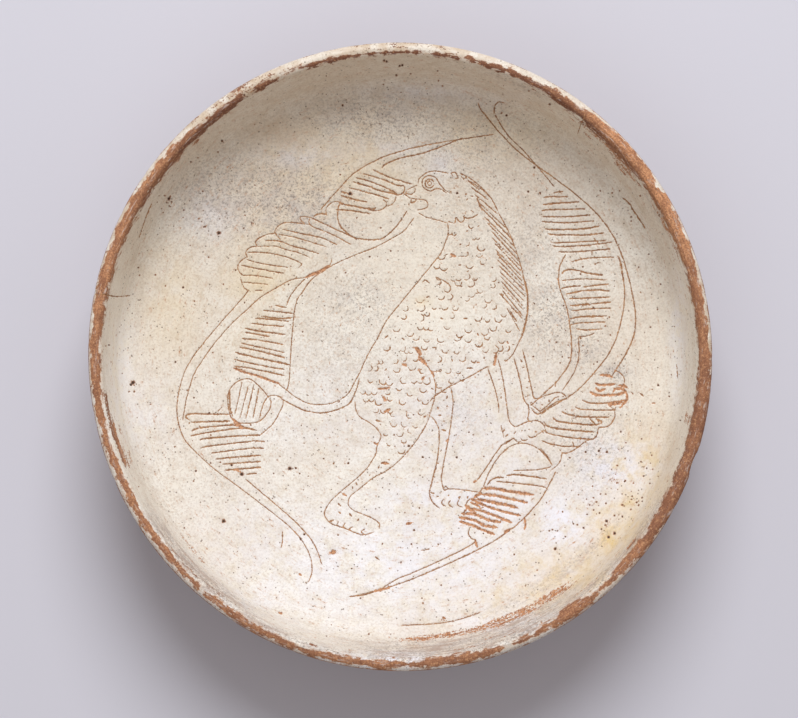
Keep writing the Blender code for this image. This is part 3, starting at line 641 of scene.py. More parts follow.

# Streaks round the pot: from and to in degrees, distance from the drawing's middle and half width in grid
# steps, and strength. In the first list the slip is rubbed through, in the second it is greyed, and the last
# of the second list is painted shade along the outer edge on the lower side, which faces away from the
# light. Each fades out over this share of its length at both ends.
ARC_FADE = 0.25
RUBBED_ARCS = [
    (262, 302, 281, 4.0, 0.95), (280, 314, 282, 6.4, 0.95), (184, 199, 299.2, 2.2, 1.25),
    (190, 204.5, 297.2, 2.6, 1.2), (197, 204, 294.2, 2.2, 1.0), (198.5, 202.5, 289.6, 2.2, 0.95),
    (193, 196.5, 291, 1.8, 0.9), (214, 238, 299, 3.2, 0.75), (230, 240, 298, 1.2, 0.9),
    (217, 229, 284, 3.6, 0.7), (300, 316, 295, 1.4, 0.7), (275, 299, 296, 1.0, 0.8),
    (281, 305, 293, 0.9, 0.8), (319, 324, 297, 2.0, 1.0), (346, 350, 295, 4.0, 0.9),
    (290, 301, 264, 2.2, 0.85), (278, 281, 265, 2.6, 0.9), (17, 22, 292, 2.0, 0.8), (38, 44, 290, 1.9, 0.9),
    (48, 52, 290, 1.9, 0.85), (52, 57, 293, 1.6, 0.75), (16, 34, 297, 1.8, 0.9), (30, 60, 296, 2.4, 0.9),
    (34, 48, 293, 1.5, 0.9), (54, 70, 298, 1.6, 0.75), (124, 160, 298, 1.8, 0.8), (21, 28, 277, 1.4, 0.9),
    (25, 33, 294, 1.6, 0.6), (259, 262, 297, 2.6, 0.85), (326, 340, 298, 1.6, 0.7),
    (308, 313, 264, 2.0, 0.7), (252, 255, 300, 2.6, 0.9), (262, 268, 284, 1.5, 0.7),
]
GREY_AND_SHADE_ARCS = [
    (255, 312, 295, 11, 1.0), (208, 244, 297, 7, 1.0), (220, 272, 302, 6, 0.8), (290, 338, 300, 7, 0.8),
    (25, 36, 297, 4, 0.5), (285, 330, 270, 6, 0.35), (60, 75, 298, 5, 0.4), (200, 335, 313, 3, 0.9),
]

# Soft patches: middle, half width, half height in grid steps, strength
GREY_PATCHES = [
    ((155, 42), 34, 40, 0.8), ((185, 10), 22, 18, 0.8), ((-40, 55), 36, 30, 0.65),
    ((-115, 155), 70, 45, 0.9), ((-180, 160), 50, 44, 0.7), ((-20, 236), 70, 26, 0.8),
    ((60, -60), 26, 20, 0.3), ((130, 110), 30, 60, 0.45), ((-60, 20), 40, 60, 0.35),
    ((190, -85), 40, 40, 0.5), ((-170, -100), 30, 40, 0.2), ((215, -14), 16, 10, 0.9),
    ((60, 215), 70, 40, 0.5), ((60, 130), 40, 50, 0.3), ((-20, 120), 60, 40, 0.15),
]
YELLOW_PATCHES = [
    ((228, -152), 16, 18, 1.0), ((210, -184), 18, 14, 1.3), ((220, -170), 34, 26, 1.0),
    ((240, -120), 30, 45, 0.85), ((165, -215), 50, 22, 0.85), ((-140, 75), 36, 24, 0.5),
    ((-60, 190), 90, 40, 0.35), ((-230, 60), 30, 60, 0.3), ((90, 225), 70, 24, 0.3),
    ((120, -240), 70, 14, 0.6), ((22, 55), 8, 5, 0.7), ((-130, 110), 50, 30, 0.3), ((-150, 30), 40, 40, 0.2),
]
SCUFFS = [
    ((190, -146), 11, 11, 0.75), ((213, -122), 14, 8, 0.7), ((208, -166), 12, 7, 0.65),
    ((-231, 155), 7, 5, 0.8), ((235, -146), 8, 5, 0.7), ((213, -83), 12, 8, 0.6), ((262, 96), 16, 14, 0.55),
    ((-205, -95), 14, 9, 0.55), ((240, -36), 7, 6, 0.7), ((158, -214), 8, 6, 0.6), ((243, 132), 10, 8, 0.6),
    ((182, -84), 7, 5, 0.7),
]
# Tan patches: those over the upper floor and the far wall are painted shade below the far wall, the low ones
# are tan stains
TAN_AND_SHADE_PATCHES = [
    ((-150, 175), 110, 60, 0.45), ((-125, 222), 46, 26, 0.75), ((0, 262), 170, 46, 0.5),
    ((150, 190), 80, 60, 0.3), ((-235, 90), 40, 70, 0.2), ((-40, 215), 120, 40, 0.25),
    ((225, -185), 60, 40, 0.45), ((185, -222), 50, 34, 0.5), ((262, -110), 24, 60, 0.3),
    ((60, -285), 120, 16, 0.3),
]
# Bluish white patches, partly painted light: a painted reflection on the lower wall and floor that face the
# light, brighter side walls, and a painted highlight below the step of the far wall; the rest are
# lavender-white worn slip
COOL_AND_LIT_PATCHES = [
    ((60, -70), 110, 70, 0.5), ((20, 264), 60, 9, 0.35), ((80, 258), 40, 9, 0.25), ((-10, -302), 70, 9, 1.0),
    ((-280, -24), 16, 70, 0.5), ((-262, -60), 40, 44, 0.4), ((279, 20), 9, 70, 0.6),
    ((80, -150), 80, 30, 0.9), ((20, -143), 50, 26, 0.7), ((-80, -60), 90, 60, 0.3),
    ((20, -205), 210, 70, 0.75), ((-120, -190), 90, 60, 0.5), ((190, -150), 70, 60, 0.6),
    ((215, -110), 44, 34, 1.0), ((165, -165), 38, 38, 1.0), ((60, -200), 70, 40, 0.5),
    ((-60, -215), 60, 34, 0.5), ((40, 190), 16, 14, 0.5), ((-10, 205), 40, 10, 0.4),
    ((-130, -240), 60, 24, 0.5), ((120, -110), 40, 30, 0.5), ((0, -300), 40, 8, 1.0),
    ((100, -262), 60, 14, 0.7), ((-100, 200), 40, 14, 0.5), ((-190, 140), 30, 24, 0.4),
]
# Pale patches: paler slip on the floor, and painted light that brightens the left and right walls
PALE_AND_LIT_PATCHES = [
    ((-282, -10), 13, 90, 0.9), ((281, 10), 11, 80, 0.75), ((20, 95), 70, 50, 0.4), ((15, 45), 75, 30, 0.5),
    ((266, 30), 12, 60, 0.3),
]

SEED = 1207
rng = np.random.default_rng(SEED)


def srgb(red, green, blue):
    """A colour written 0 to 255, as the linear one that a shader takes."""
    def linear(value):
        share = value / 255
        return share / 12.92 if share <= 0.04045 else ((share + 0.055) / 1.055) ** 2.4
    return (linear(red), linear(green), linear(blue), 1.0)


def bend(start, corner, end, steps):
    """Points of a quadratic curve, without its first one."""
    found = []
    for step in range(1, steps + 1):
        t = step / steps
        found.append(tuple(
            (1 - t) ** 2 * s + 2 * t * (1 - t) * c + t * t * e for s, c, e in zip(start, corner, end)
        ))
    return found


def straight(start, end, steps):
    return [tuple(s + (e - s) * i / steps for s, e in zip(start, end)) for i in range(1, steps + 1)]


def through(points, spacing):
    """A smooth line through the points, with a point about every spacing."""
    known = [np.array(p, float) for p in points]
    ends = [known[0], *known, known[-1]]
    line = [known[0]]
    for p0, p1, p2, p3 in zip(ends, ends[1:], ends[2:], ends[3:]):
        pieces = max(1, round(float(np.hypot(*(p2 - p1))) / spacing))
        for piece in range(1, pieces + 1):
            t = piece / pieces
            line.append(0.5 * (2 * p1 + (p2 - p0) * t + (2 * p0 - 5 * p1 + 4 * p2 - p3) * t * t
                               + (3 * p1 - p0 - 3 * p2 + p3) * t ** 3))
    return np.array(line)


def cloud(places, name):
    """Smooth noise about 0 at each of the places, from the table of clouds."""
    size, seed = CLOUDS[name]
    return np.array([noise.noise(Vector(place)) for place in np.asarray(places) / size + seed])


def rise(values, start, reach):
    """From 0 at the start to 1 a reach further on."""
    return np.clip((values - start) / reach, 0, 1)


def polar(places):
    """Distance from the middle and angle of each place, seen from above."""
    return np.hypot(places[:, 0], places[:, 1]), np.arctan2(places[:, 1], places[:, 0])


def circle(angles):
    """Points of the unit circle at these angles."""
    return np.column_stack((np.cos(angles), np.sin(angles)))


def turns(count):
    """This many angles, evenly round a turn."""
    return np.arange(count) * 2 * math.pi / count


# The drawing


def drawn_lines():
    strokes = []
    for width, regions in ((FINE, FINE_LINES), (FIRM, FIRM_LINES), (BROAD, BROAD_LINES), (GOUGE, GOUGES)):
        for lines in regions.values():
            strokes += [Stroke(points, width * rng.uniform(*WIDTH_SPREAD)) for points in lines]
    round_it = circle(np.radians(np.arange(0, 361, IRIS_STEP)))
    return strokes + [Stroke(np.array(IRIS) + radius * round_it, FINE) for radius in IRIS_RADII]


def mane():
    """Strokes from the inner edge of the mane to its outline, spread between the ones in the table."""
    strokes = []
    known = np.array(MANE, float)
    along = (known[1:, 2:] - known[1:, :2]).T
    step = np.diff(known[:, :2], axis=0).T
    gaps = np.abs(along[0] * step[1] - along[1] * step[0]) / np.hypot(*along)
    run = np.concatenate(([0], np.cumsum(gaps)))
    for place in np.interp(np.linspace(0, run[-1], MANE_COUNT), run, range(len(run))):
        ends = np.array([np.interp(place, range(len(known)), column) for column in known.T])
        ends += rng.normal(0, MANE_SHAKE, 4)
        strokes.append(Stroke([ends[:2], ends[2:]], FINE * rng.uniform(*MANE_WIDTHS)))
    return strokes


def inside(point, outline):
    """Whether the point lies within the closed outline."""
    x, y = point
    found = False
    for (x0, y0), (x1, y1) in zip(outline, [*outline[1:], outline[0]]):
        if (y0 > y) != (y1 > y) and x < x0 + (x1 - x0) * (y - y0) / (y1 - y0):
            found = not found
    return found


def spot(middle, radius):
    """One of the coat's marks: mostly a small cup, sometimes a wave of two or a tick."""
    kind = rng.random()
    if kind < TICKS_BELOW:
        reach = rng.normal(0, TICK_REACH)
        return [Stroke([middle - reach, middle + reach], DOT_WIDTH)]
    turn = math.radians(rng.normal(*SPOT_TURN))
    sweep = math.radians(rng.uniform(*SPOT_SWEEP))
    angles = [turn - math.pi / 2 + sweep * side for side in SPOT_POINTS]
    cup = np.array([(math.cos(a), math.sin(a)) for a in angles]) * radius
    width = rng.uniform(*SPOT_WIDTHS)
    if kind < WAVES_BELOW:
        return [Stroke(middle + cup * WAVE_SIZE + (side * radius * WAVE_SIZE, 0), width) for side in (-1, 1)]
    return [Stroke(middle + cup, width)]


def coat():
    """Spots in staggered rows over the body, and the dots down the legs."""
    strokes = []
    outline = np.array(COAT)
    left, bottom = outline.min(0)
    right, top = outline.max(0)
    for row, y in enumerate(np.arange(bottom, top, COAT_SPACING * COAT_ROW)):
        start = left + COAT_SPACING / 2 * (row % 2)
        for x in np.arange(start, right, COAT_SPACING):
            middle = np.array((x, y)) + rng.normal(0, COAT_SHAKE, 2)
            radius = SPOT_RADIUS * rng.uniform(*SPOT_SIZES)
            if inside(middle, COAT):
                strokes += spot(middle, radius)
    for middle in DOTS:
        reach = rng.normal(0, DOT_REACH, 2)
        strokes.append(Stroke([np.array(middle) - reach, np.array(middle) + reach], DOT_WIDTH))
    return strokes


# The pot's form


def floor_height(radius):
    """The floor is a shallow paraboloid up to the foot of the wall."""
    return FOOT_HEIGHT + FLOOR_THICKNESS + DISH_DEPTH * (radius / wall_foot_radius) ** 2


def underside(radius):
    return floor_height(radius) - FLOOR_THICKNESS


def corner_profile():
    """The rounded corner between floor and wall, and the wall's top."""
    edge = (floor_edge, floor_height(floor_edge))
    foot = (wall_foot_radius, floor_height(wall_foot_radius))
    top = (wall_foot_radius + WALL_LEAN, wall_top_height)
    share = CORNER / (top[1] - foot[1])
    wall_start = (foot[0] + share * (top[0] - foot[0]), foot[1] + CORNER)
    return [edge] + bend(edge, foot, wall_start, CORNER_STEPS), top


corner, wall_top = corner_profile()


def face_height(radius):
    """Height of what the eye looks down on at a radius: floor, corner, wall, and the lip's round."""
    radii, heights = zip(*corner, wall_top)
    height = np.where(radius < floor_edge, floor_height(radius), np.interp(radius, radii, heights))
    over = np.clip(lip_round ** 2 - (radius - lip_crest) ** 2, 0, None)
    return np.where(radius > wall_top[0], wall_top_height + np.sqrt(over), height)


def behind(points):
    """Where the rays from the eye through points of the drawing grid meet the face."""
    start = np.array(eye)
    ray = (np.array(lip_middle) + points[:, :1] * np.array(grid_across)
           + (points[:, 1:] - DRAWING_DROP) * np.array(grid_away) - start)
    near = (lip_height + CLEAR_ABOVE_LIP - start[2]) / ray[:, 2]
    far = (FOOT_HEIGHT - start[2]) / ray[:, 2]
    for _ in range(SIGHT_HALVINGS):
        half_way = (near + far) / 2
        place = start + ray * half_way[:, None]
        above = place[:, 2] > face_height(polar(place)[0])
        near = np.where(above, half_way, near)
        far = np.where(above, far, half_way)
    return start + ray * far[:, None]


def seen_on_grid(places):
    """The points of the drawing grid that places lie behind, for the eye."""
    from_eye = places - np.array(eye)
    share = EYE_DISTANCE / (from_eye @ np.array(sight) * grid)
    across = places[:, 0] * share
    away = from_eye @ np.array(grid_away) / grid * share
    return np.column_stack((across, away + DRAWING_DROP))


def pulled_out_of_round(places):
    """Moves places on the true turned shape to where the uneven hand-thrown one has them."""
    x, y, z = places.T
    angle = np.arctan2(y, x)
    share = z / lip_height
    swell = OVAL * np.cos(2 * (angle - OVAL_AXIS)) * share * np.hypot(x, y) / LIP_RADIUS
    lift = LIP_WAVE * np.sin(LIP_WAVE_COUNT * angle) * share ** 3
    return np.column_stack((x + swell * np.cos(angle), y + swell * np.sin(angle), z + lift))


def before_pulling(points):
    """The grid points of the true turned shape that end up at the given ones once it is out of round."""
    guess = points
    for _ in range(PULL_ROUNDS):
        guess = guess + points - seen_on_grid(pulled_out_of_round(behind(guess)))
    return guess


# Cuts and pits


class Relief:
    """Fine maps over the drawing grid: how far inside a cut each place is, how deep, how dark, how broad."""

    def __init__(self):
        self.size = int(2 * RELIEF_REACH / RELIEF_CELL) + 1
        self.cut = np.full((self.size, self.size), -1.0, np.float32)
        self.depth = np.zeros((self.size, self.size), np.float32)
        self.dark = np.zeros((self.size, self.size), np.float32)
        self.broad = np.zeros((self.size, self.size), np.float32)

    def stamp(self, place, half_width, depth, dark=0.0, broad=0.0):
        middle = (np.asarray(place) + RELIEF_REACH) / RELIEF_CELL
        span = half_width * STAMP_REACH / RELIEF_CELL
        x0, y0 = np.maximum(0, np.floor(middle - span)).astype(int)
        x1, y1 = np.minimum(self.size, np.ceil(middle + span) + 1).astype(int)
        if x0 >= x1 or y0 >= y1:
            return
        xs = np.arange(x0, x1) - middle[0]
        ys = np.arange(y0, y1) - middle[1]
        within = 1 - np.hypot(xs[None, :], ys[:, None]) * RELIEF_CELL / half_width
        inner = np.clip(within * STAMP_STEEPNESS, 0, 1)
        broad = broad * (within > -BROAD_BEYOND)
        deep, black = depth * inner, dark * inner
        stamps = ((self.cut, within), (self.depth, deep), (self.dark, black), (self.broad, broad))
        for field, value in stamps:
            part = field[y0:y1, x0:x1]
            np.maximum(part, value, out=part)

    def read(self, field, points):
        """The map's value at each grid point, between its cells."""
        at = (points + RELIEF_REACH) / RELIEF_CELL
        base = np.clip(np.floor(at).astype(int), 0, self.size - 2)
        share = np.clip(at - base, 0, 1)
        x, y = base[:, 0], base[:, 1]
        sx, sy = share[:, 0], share[:, 1]
        lower = field[y, x] * (1 - sx) + field[y, x + 1] * sx
        upper = field[y + 1, x] * (1 - sx) + field[y + 1, x + 1] * sx
        return lower * (1 - sy) + upper * sy


def wander(run, number, rate, step, layer):
    """Slow noise along a stroke, different for each stroke's number."""
    return np.array([noise.noise(Vector((place * rate, number * step, layer))) for place in run])


def cut_strokes(strokes, relief):
    """Stamps every stroke in the relief, and gives the rows of grid points that follow it."""
    rows = {"middle": [], "edge": [], "beside": []}
    smooth = [through(stroke.points, LINE_SPACING) for stroke in strokes]
    ends = np.cumsum([len(line) for line in smooth])
    unpulled = np.split(before_pulling(np.vstack(smooth)), ends[:-1])
    for number, (stroke, line) in enumerate(zip(strokes, unpulled)):
        run = np.concatenate(([0], np.cumsum(np.hypot(*np.diff(line, axis=0).T))))
        tangent = np.gradient(line, axis=0)
        tangent /= np.maximum(SAME_POINT, np.hypot(*tangent.T))[:, None]
        normal = np.column_stack((-tangent[:, 1], tangent[:, 0]))
        line = line + normal * wander(run, number, *SWAY)[:, None] * SWAY_REACH
        taper = np.clip(np.minimum(run, run[-1] - run) / TAPER, 0, 1)
        taper = TIP_SHARE + (1 - TIP_SHARE) * taper
        half = stroke.width / 2 * taper * (1 + PRESS_REACH * wander(run, number, *PRESS))
        depth = (CUT_DEPTH + CUT_DEPTH_PER_STEP * stroke.width) * taper
        for place, half_width, deep in zip(line, half, depth):
            relief.stamp(place, half_width, deep, broad=float(stroke.width > BROAD_FROM))
        spacing = STATION_SPACING if run[-1] > LONG_FROM else SPOT_SPACING
        count = max(2, int(run[-1] / spacing) + 1)
        stations = np.unique(np.round(np.linspace(0, len(line) - 1, count)).astype(int))
        at, across, wide = line[stations], normal[stations], half[stations][:, None]
        rows["middle"].append(at)
        for side in (-1, 1):
            rows["edge"].append(at + across * wide * side)
            rows["beside"].append(at + across * (wide + BESIDE_CUT) * side)
            if stroke.width > MORE_ROWS_FROM:
                rows["middle"].append(at + across * wide * side * 0.5)
        for end, way in ((0, -1), (-1, 1)):
            rows["beside"].append((line[end] + tangent[end] * way * PAST_END)[None, :])
    return [np.vstack(rows[kind]) for kind in ("middle", "edge", "beside")]


def pits(relief):
    """Dark holes in the slip, with the ring of points that each needs."""
    found = []
    listed = [(middle, size) for size, middles in PITS.items() for middle in middles]
    for _ in range(STREWN_PITS):
        reach = STREWN_REACH * math.sqrt(rng.uniform(0.0, 1.0))
        angle = rng.uniform(0, 2 * math.pi)
        size = rng.choice(STREWN_SIZES, p=STREWN_CHANCES)
        listed.append(((reach * math.cos(angle), reach * math.sin(angle)), size))
    for middle, spread, count in PIT_CLUSTERS:
        listed += [(rng.normal(middle, spread), rng.uniform(*CLUSTER_SIZES)) for _ in range(count)]
    middles = before_pulling(np.array([middle for middle, _ in listed], float))
    ring = circle(turns(PIT_POINTS))
    for middle, (_, size) in zip(middles, listed):
        squash = np.array((1.0, rng.uniform(PIT_SQUASH, 1.0)))
        darkness = rng.uniform(*PIT_DARKNESS) if size < BLACK_FROM else 1.0
        relief.stamp(middle, size, size * PIT_DEPTH, darkness)
        if size > LARGE_FROM:
            relief.stamp(middle + SECOND_HOLLOW, size * SECOND_SIZE, size * SECOND_DEPTH, SECOND_DARKNESS)
        found.append(middle[None, :])
        found += [middle + size * share * ring * squash for share in PIT_RINGS]
    return np.vstack(found)


# The skin


def face_rings():
    """The face's rings outside the floor, as the radius, the height and the number of points of each."""
    up_the_wall = corner + straight(corner[-1], wall_top, WALL_STEPS)
    rings = [(radius, height, WALL_POINTS) for radius, height in up_the_wall]
    for share in np.linspace(-LIP_SHARE, LIP_SHARE, LIP_STEPS):
        height = wall_top_height + lip_round * math.sqrt(1 - share ** 2)
        rings.append((lip_crest + lip_round * share, height, LIP_POINTS))
    return rings


def ring_places(radius, height, count):
    return np.column_stack((radius * circle(turns(count)), np.full(count, height)))


def floor_lattice():
    """Evenly staggered grid points that cover the floor between the strokes."""
    reach = floor_edge / grid * LATTICE_REACH
    found = []
    for row, y in enumerate(np.arange(-reach, reach, FLOOR_SPACING * LATTICE_ROW)):
        xs = np.arange(-reach + FLOOR_SPACING / 2 * (row % 2), reach, FLOOR_SPACING)
        found.append(np.column_stack((xs, np.full(len(xs), y))))
    lattice = np.vstack(found)
    lattice = lattice + rng.normal(0, FLOOR_SPACING * LATTICE_SHAKE, lattice.shape)
    return lattice[np.hypot(*lattice.T) < reach - FLOOR_SPACING]


def thinned(groups, gap):
    """The groups' points as one list, in which an earlier point keeps later ones out of its cell."""
    points = np.vstack(groups)
    cells = np.floor(points / gap).astype(np.int64)
    keys = cells[:, 0] * ROW_OF_CELLS + cells[:, 1]
    _, first = np.unique(keys, return_index=True)
    return points[np.sort(first)]


def clear_of(points, others, gap):
    """The points that aren't close to any of the others."""
    taken = {tuple(cell) for cell in np.floor(others / gap).astype(int)}
    near = [(dx, dy) for dx in (-1, 0, 1) for dy in (-1, 0, 1)]
    keep = [i for i, (x, y) in enumerate(np.floor(points / gap).astype(int))
            if not any((x + dx, y + dy) in taken for dx, dy in near)]
    return points[keep]


def face_points(relief):
    """The grid points that the face is meshed with, its rim first, and the rim's own places."""
    strokes = drawn_lines() + mane() + coat() + [Stroke(*blot) for blot in BLOTS]
    middle, edge, beside = cut_strokes(strokes, relief)
    pit_points = pits(relief)
    rings = face_rings()
    seen = [seen_on_grid(ring_places(*ring)) for ring in rings]
    rim = seen.pop()
    lip = [ring for ring, (_, _, count) in zip(seen, rings) if count == LIP_POINTS]
    wall = [ring for ring, (_, _, count) in zip(seen, rings) if count == WALL_POINTS]
    strokes_first = np.vstack((middle, edge, pit_points, beside))
    fine = thinned([*lip, middle, edge, pit_points, beside, *wall], POINT_GAP)
    lattice = clear_of(floor_lattice(), strokes_first, FLOOR_SPACING * LATTICE_CLEARANCE)
    field = np.vstack((fine, lattice))
    rim_reach, rim_angle = polar(rim)
    order = np.argsort(rim_angle)
    reach, angle = polar(field)
    limit = np.interp(angle, rim_angle[order], rim_reach[order], period=2 * math.pi)
    return np.vstack((rim, field[reach < limit - RIM_CLEARANCE])), ring_places(*rings[-1])


def back_section():
    """Rows from the lip's outer side down the outside and round to the middle of the foot.

    Each row is its radius, its height, and how many points its ring has.
    """
    points = []
    start_angle = math.acos(LIP_SHARE)
    for step in range(1, LIP_ROWS + 1):
        angle = start_angle * (1 - step / LIP_ROWS)
        height = wall_top_height + lip_round * math.sin(angle)
        points.append((lip_crest + lip_round * math.cos(angle), height))
    turn_radius = wall_foot_radius + WALL_THICKNESS
    turn = (turn_radius, underside(turn_radius))
    turn_reach = CORNER + WALL_THICKNESS
    above = (turn_radius, turn[1] + turn_reach)
    below = (turn_radius - turn_reach, underside(turn_radius - turn_reach))
    neck = FOOT_RADIUS - FOOT_SPLAY
    inside_foot = FOOT_RADIUS - FOOT_WIDTH
    points += straight(points[-1], above, OUTSIDE_ROWS) + bend(above, turn, below, TURN_ROWS)
    neck_start = (neck + FOOT_CHAMFER * 2, underside(neck))
    neck_end = (neck, underside(neck) - FOOT_CHAMFER * 2)
    dish = np.linspace(below[0], neck_start[0], DISH_ROWS + 1)[1:]
    points += [(radius, underside(radius)) for radius in dish]
    points += bend(neck_start, (neck, underside(neck)), neck_end, EDGE_ROWS)
    points += straight(neck_end, (FOOT_RADIUS, FOOT_CHAMFER), EDGE_ROWS)
    points += bend(points[-1], (FOOT_RADIUS, 0), (FOOT_RADIUS - FOOT_CHAMFER, 0), EDGE_ROWS)
    points += straight(points[-1], (inside_foot + FOOT_CHAMFER, 0), FOOT_ROWS)
    points += bend(points[-1], (inside_foot, 0), (inside_foot, FOOT_CHAMFER), EDGE_ROWS)
    wall_of_recess = (inside_foot, underside(inside_foot) - FOOT_CHAMFER)
    points += straight(points[-1], wall_of_recess, EDGE_ROWS)
    recess_edge = inside_foot - FOOT_CHAMFER
    points += bend(wall_of_recess, (inside_foot, underside(inside_foot)),
                   (recess_edge, underside(recess_edge)), EDGE_ROWS)
    recess = np.linspace(points[-1][0], INNERMOST_RADIUS, RECESS_ROWS + 1)[1:]
    points += [(radius, underside(radius)) for radius in recess]
    rows = []
    for radius, height in points:
        fewer = sum(height < lip_height - drop for drop in FEWER_BELOW_LIP)
        fewer += sum(radius < limit for limit in FEWER_WITHIN)
        rows.append((radius, height, LIP_POINTS // 2 ** fewer))
    return rows


def stitch(first, second):
    """Faces between two rings of which one may have twice the points of the other."""
    faces = []
    if len(first) == len(second):
        for i, (a, b) in enumerate(zip(first, second)):
            c, d = second[(i + 1) % len(second)], first[(i + 1) % len(first)]
            faces.append((a, b, c, d))
    else:
        for i, b in enumerate(second):
            next_b = second[(i + 1) % len(second)]
            a, half_way, next_a = first[2 * i], first[2 * i + 1], first[(2 * i + 2) % len(first)]
            faces += [(a, b, half_way), (half_way, b, next_b), (half_way, next_b, next_a)]
    return faces


def along_section(places, on_face):
    """How far each place is from the lip's crest along the section, beyond 0 on the outer side."""
    radii = np.linspace(0, lip_crest + lip_round * LIP_SHARE, SECTION_STEPS)
    run = np.concatenate(([0], np.cumsum(np.hypot(np.diff(radii), np.diff(face_height(radii))))))
    run -= np.interp(lip_crest, radii, run)
    radius = polar(places)[0]
    inner = np.interp(radius, radii, run)
    outer = run[-1] + wall_top_height - places[:, 2] + np.clip(LIP_RADIUS - radius, 0, None)
    return np.where(on_face, inner, outer)


def from_outline(places, across, on_face):
    """How many grid steps inside the outline of the lip each place is seen, below 0 outside the pot."""
    def seen(radius, height):
        return radius * EYE_DISTANCE / (EYE_DISTANCE + lip_height - height) / grid
    inner = seen(LIP_RADIUS, wall_top_height) - seen(polar(places)[0], places[:, 2])
    return np.where(on_face, inner, -across / grid + lip_round * math.acos(1 - LIP_SHARE) / grid)


def nicks():
    """The flake and many small nicks, as angle, length, bite, height and side."""
    found = [(FLAKE_ANGLE, FLAKE_LENGTH, FLAKE_BITE, FLAKE_HEIGHT, 1)]
    for _ in range(NICK_COUNT):
        length = rng.uniform(*NICK_LENGTHS)
        side = 1 if rng.random() < NICKS_OUTSIDE else -1
        angle = rng.uniform(0, 2 * math.pi)
        bite = length * rng.uniform(*NICK_BITES)
        found.append((angle, length, bite, length * NICK_HEIGHT, side))
    return found


def chipped(radius, height, angle):
    """The radius of each place once the lip's chips are out, and how deep into a chip the place is."""
    broken = np.zeros(len(radius))
    for chip_angle, length, bite, chip_height, side in nicks():
        away = (angle - chip_angle + math.pi) % (2 * math.pi) - math.pi
        reach = bite * SCOOP
        face = LIP_RADIUS - bite + reach if side > 0 else LIP_RADIUS - LIP_THICKNESS + bite - reach
        level = lip_height - lip_round * (1.0 if side > 0 else INNER_NICK_LEVEL)
        room = 1 - (away * LIP_RADIUS / (length / 2)) ** 2 - ((height - level) / chip_height) ** 2
        wall = face - side * reach * np.sqrt(np.clip(room, 0, None))
        hit = (room > 0) & ((radius - wall) * side > 0) & (np.abs(radius - lip_crest) < LIP_THICKNESS)
        broken = np.where(hit, np.maximum(broken, (radius - wall) * side), broken)
        radius = np.where(hit, wall, radius)
    return radius, broken


def ring_wave(rings, run, shift=0.0):
    """The height of the potter's rings along a run, moved on by the shift."""
    height, rate = rings
    return height * np.sin(run * rate + shift)


def unevenness(places, across, on_face):
    """How far each place stands out of the true turned shape: the potter's rings and a slow swell."""
    radius = polar(places)[0]
    swell = cloud(places, "swell")
    shift = RING_SHIFT * cloud(places, "shake")
    face_ridge = ring_wave(FACE_RINGS, across, shift) + FACE_SWELL * swell
    back_ridge = ring_wave(BACK_RINGS, across, shift) + BACK_SWELL * swell
    back_ridge *= rise(across, BACK_RINGS_START, BACK_RINGS_RAMP) * (radius > FOOT_RADIUS + CLEAR_OF_FOOT)
    recess = ring_wave(RECESS_RINGS, radius) * (radius < FOOT_RADIUS - FOOT_WIDTH - CLEAR_OF_RECESS)
    lip = np.clip(1 - np.abs(across) / LIP_REACH, 0, 1)
    rough = -LIP_ROUGHNESS * np.abs(cloud(places, "rough")) * lip
    return np.where(on_face, face_ridge * (1 - lip), back_ridge - recess) + rough


def outward(places, on_face):
    """The direction out of the surface, across and up, at each place of the true turned shape."""
    radius = polar(places)[0]
    climb = face_height(radius + SLOPE_STEP) - face_height(radius - SLOPE_STEP)
    slope = np.clip(climb / (2 * SLOPE_STEP), -STEEPEST, STEEPEST)
    under = (places[:, 2] < lip_height - UNDERSIDE_DEPTH) & ~on_face
    across = np.where(on_face, -slope, np.where(under, UNDERSIDE_TILT, 1.0))
    up = np.where(on_face, 1.0, np.where(under, -1.0, 0.0))
    size = np.hypot(across, up)
    return across / size, up / size


def soft_patches(patches, seen):
    """How strongly the patches cover each grid point."""
    total = np.zeros(len(seen))
    for (x, y), half_width, half_height, strength in patches:
        away = ((seen[:, 0] - x) / half_width) ** 2 + ((seen[:, 1] - y) / half_height) ** 2
        total = np.maximum(total, strength * np.exp(-away))
    return total


def arcs(listed, seen):
    """How strongly the streaks round the pot cover each grid point."""
    reach, angle = polar(seen)
    degrees = np.degrees(angle) % 360
    total = np.zeros(len(seen))
    for start, end, middle, half_width, strength in listed:
        ends = np.clip(np.minimum(degrees - start, end - degrees) / (ARC_FADE * (end - start)), 0, 1)
        total = np.maximum(total, strength * ends * np.exp(-((reach - middle) / half_width) ** 4))
    return total


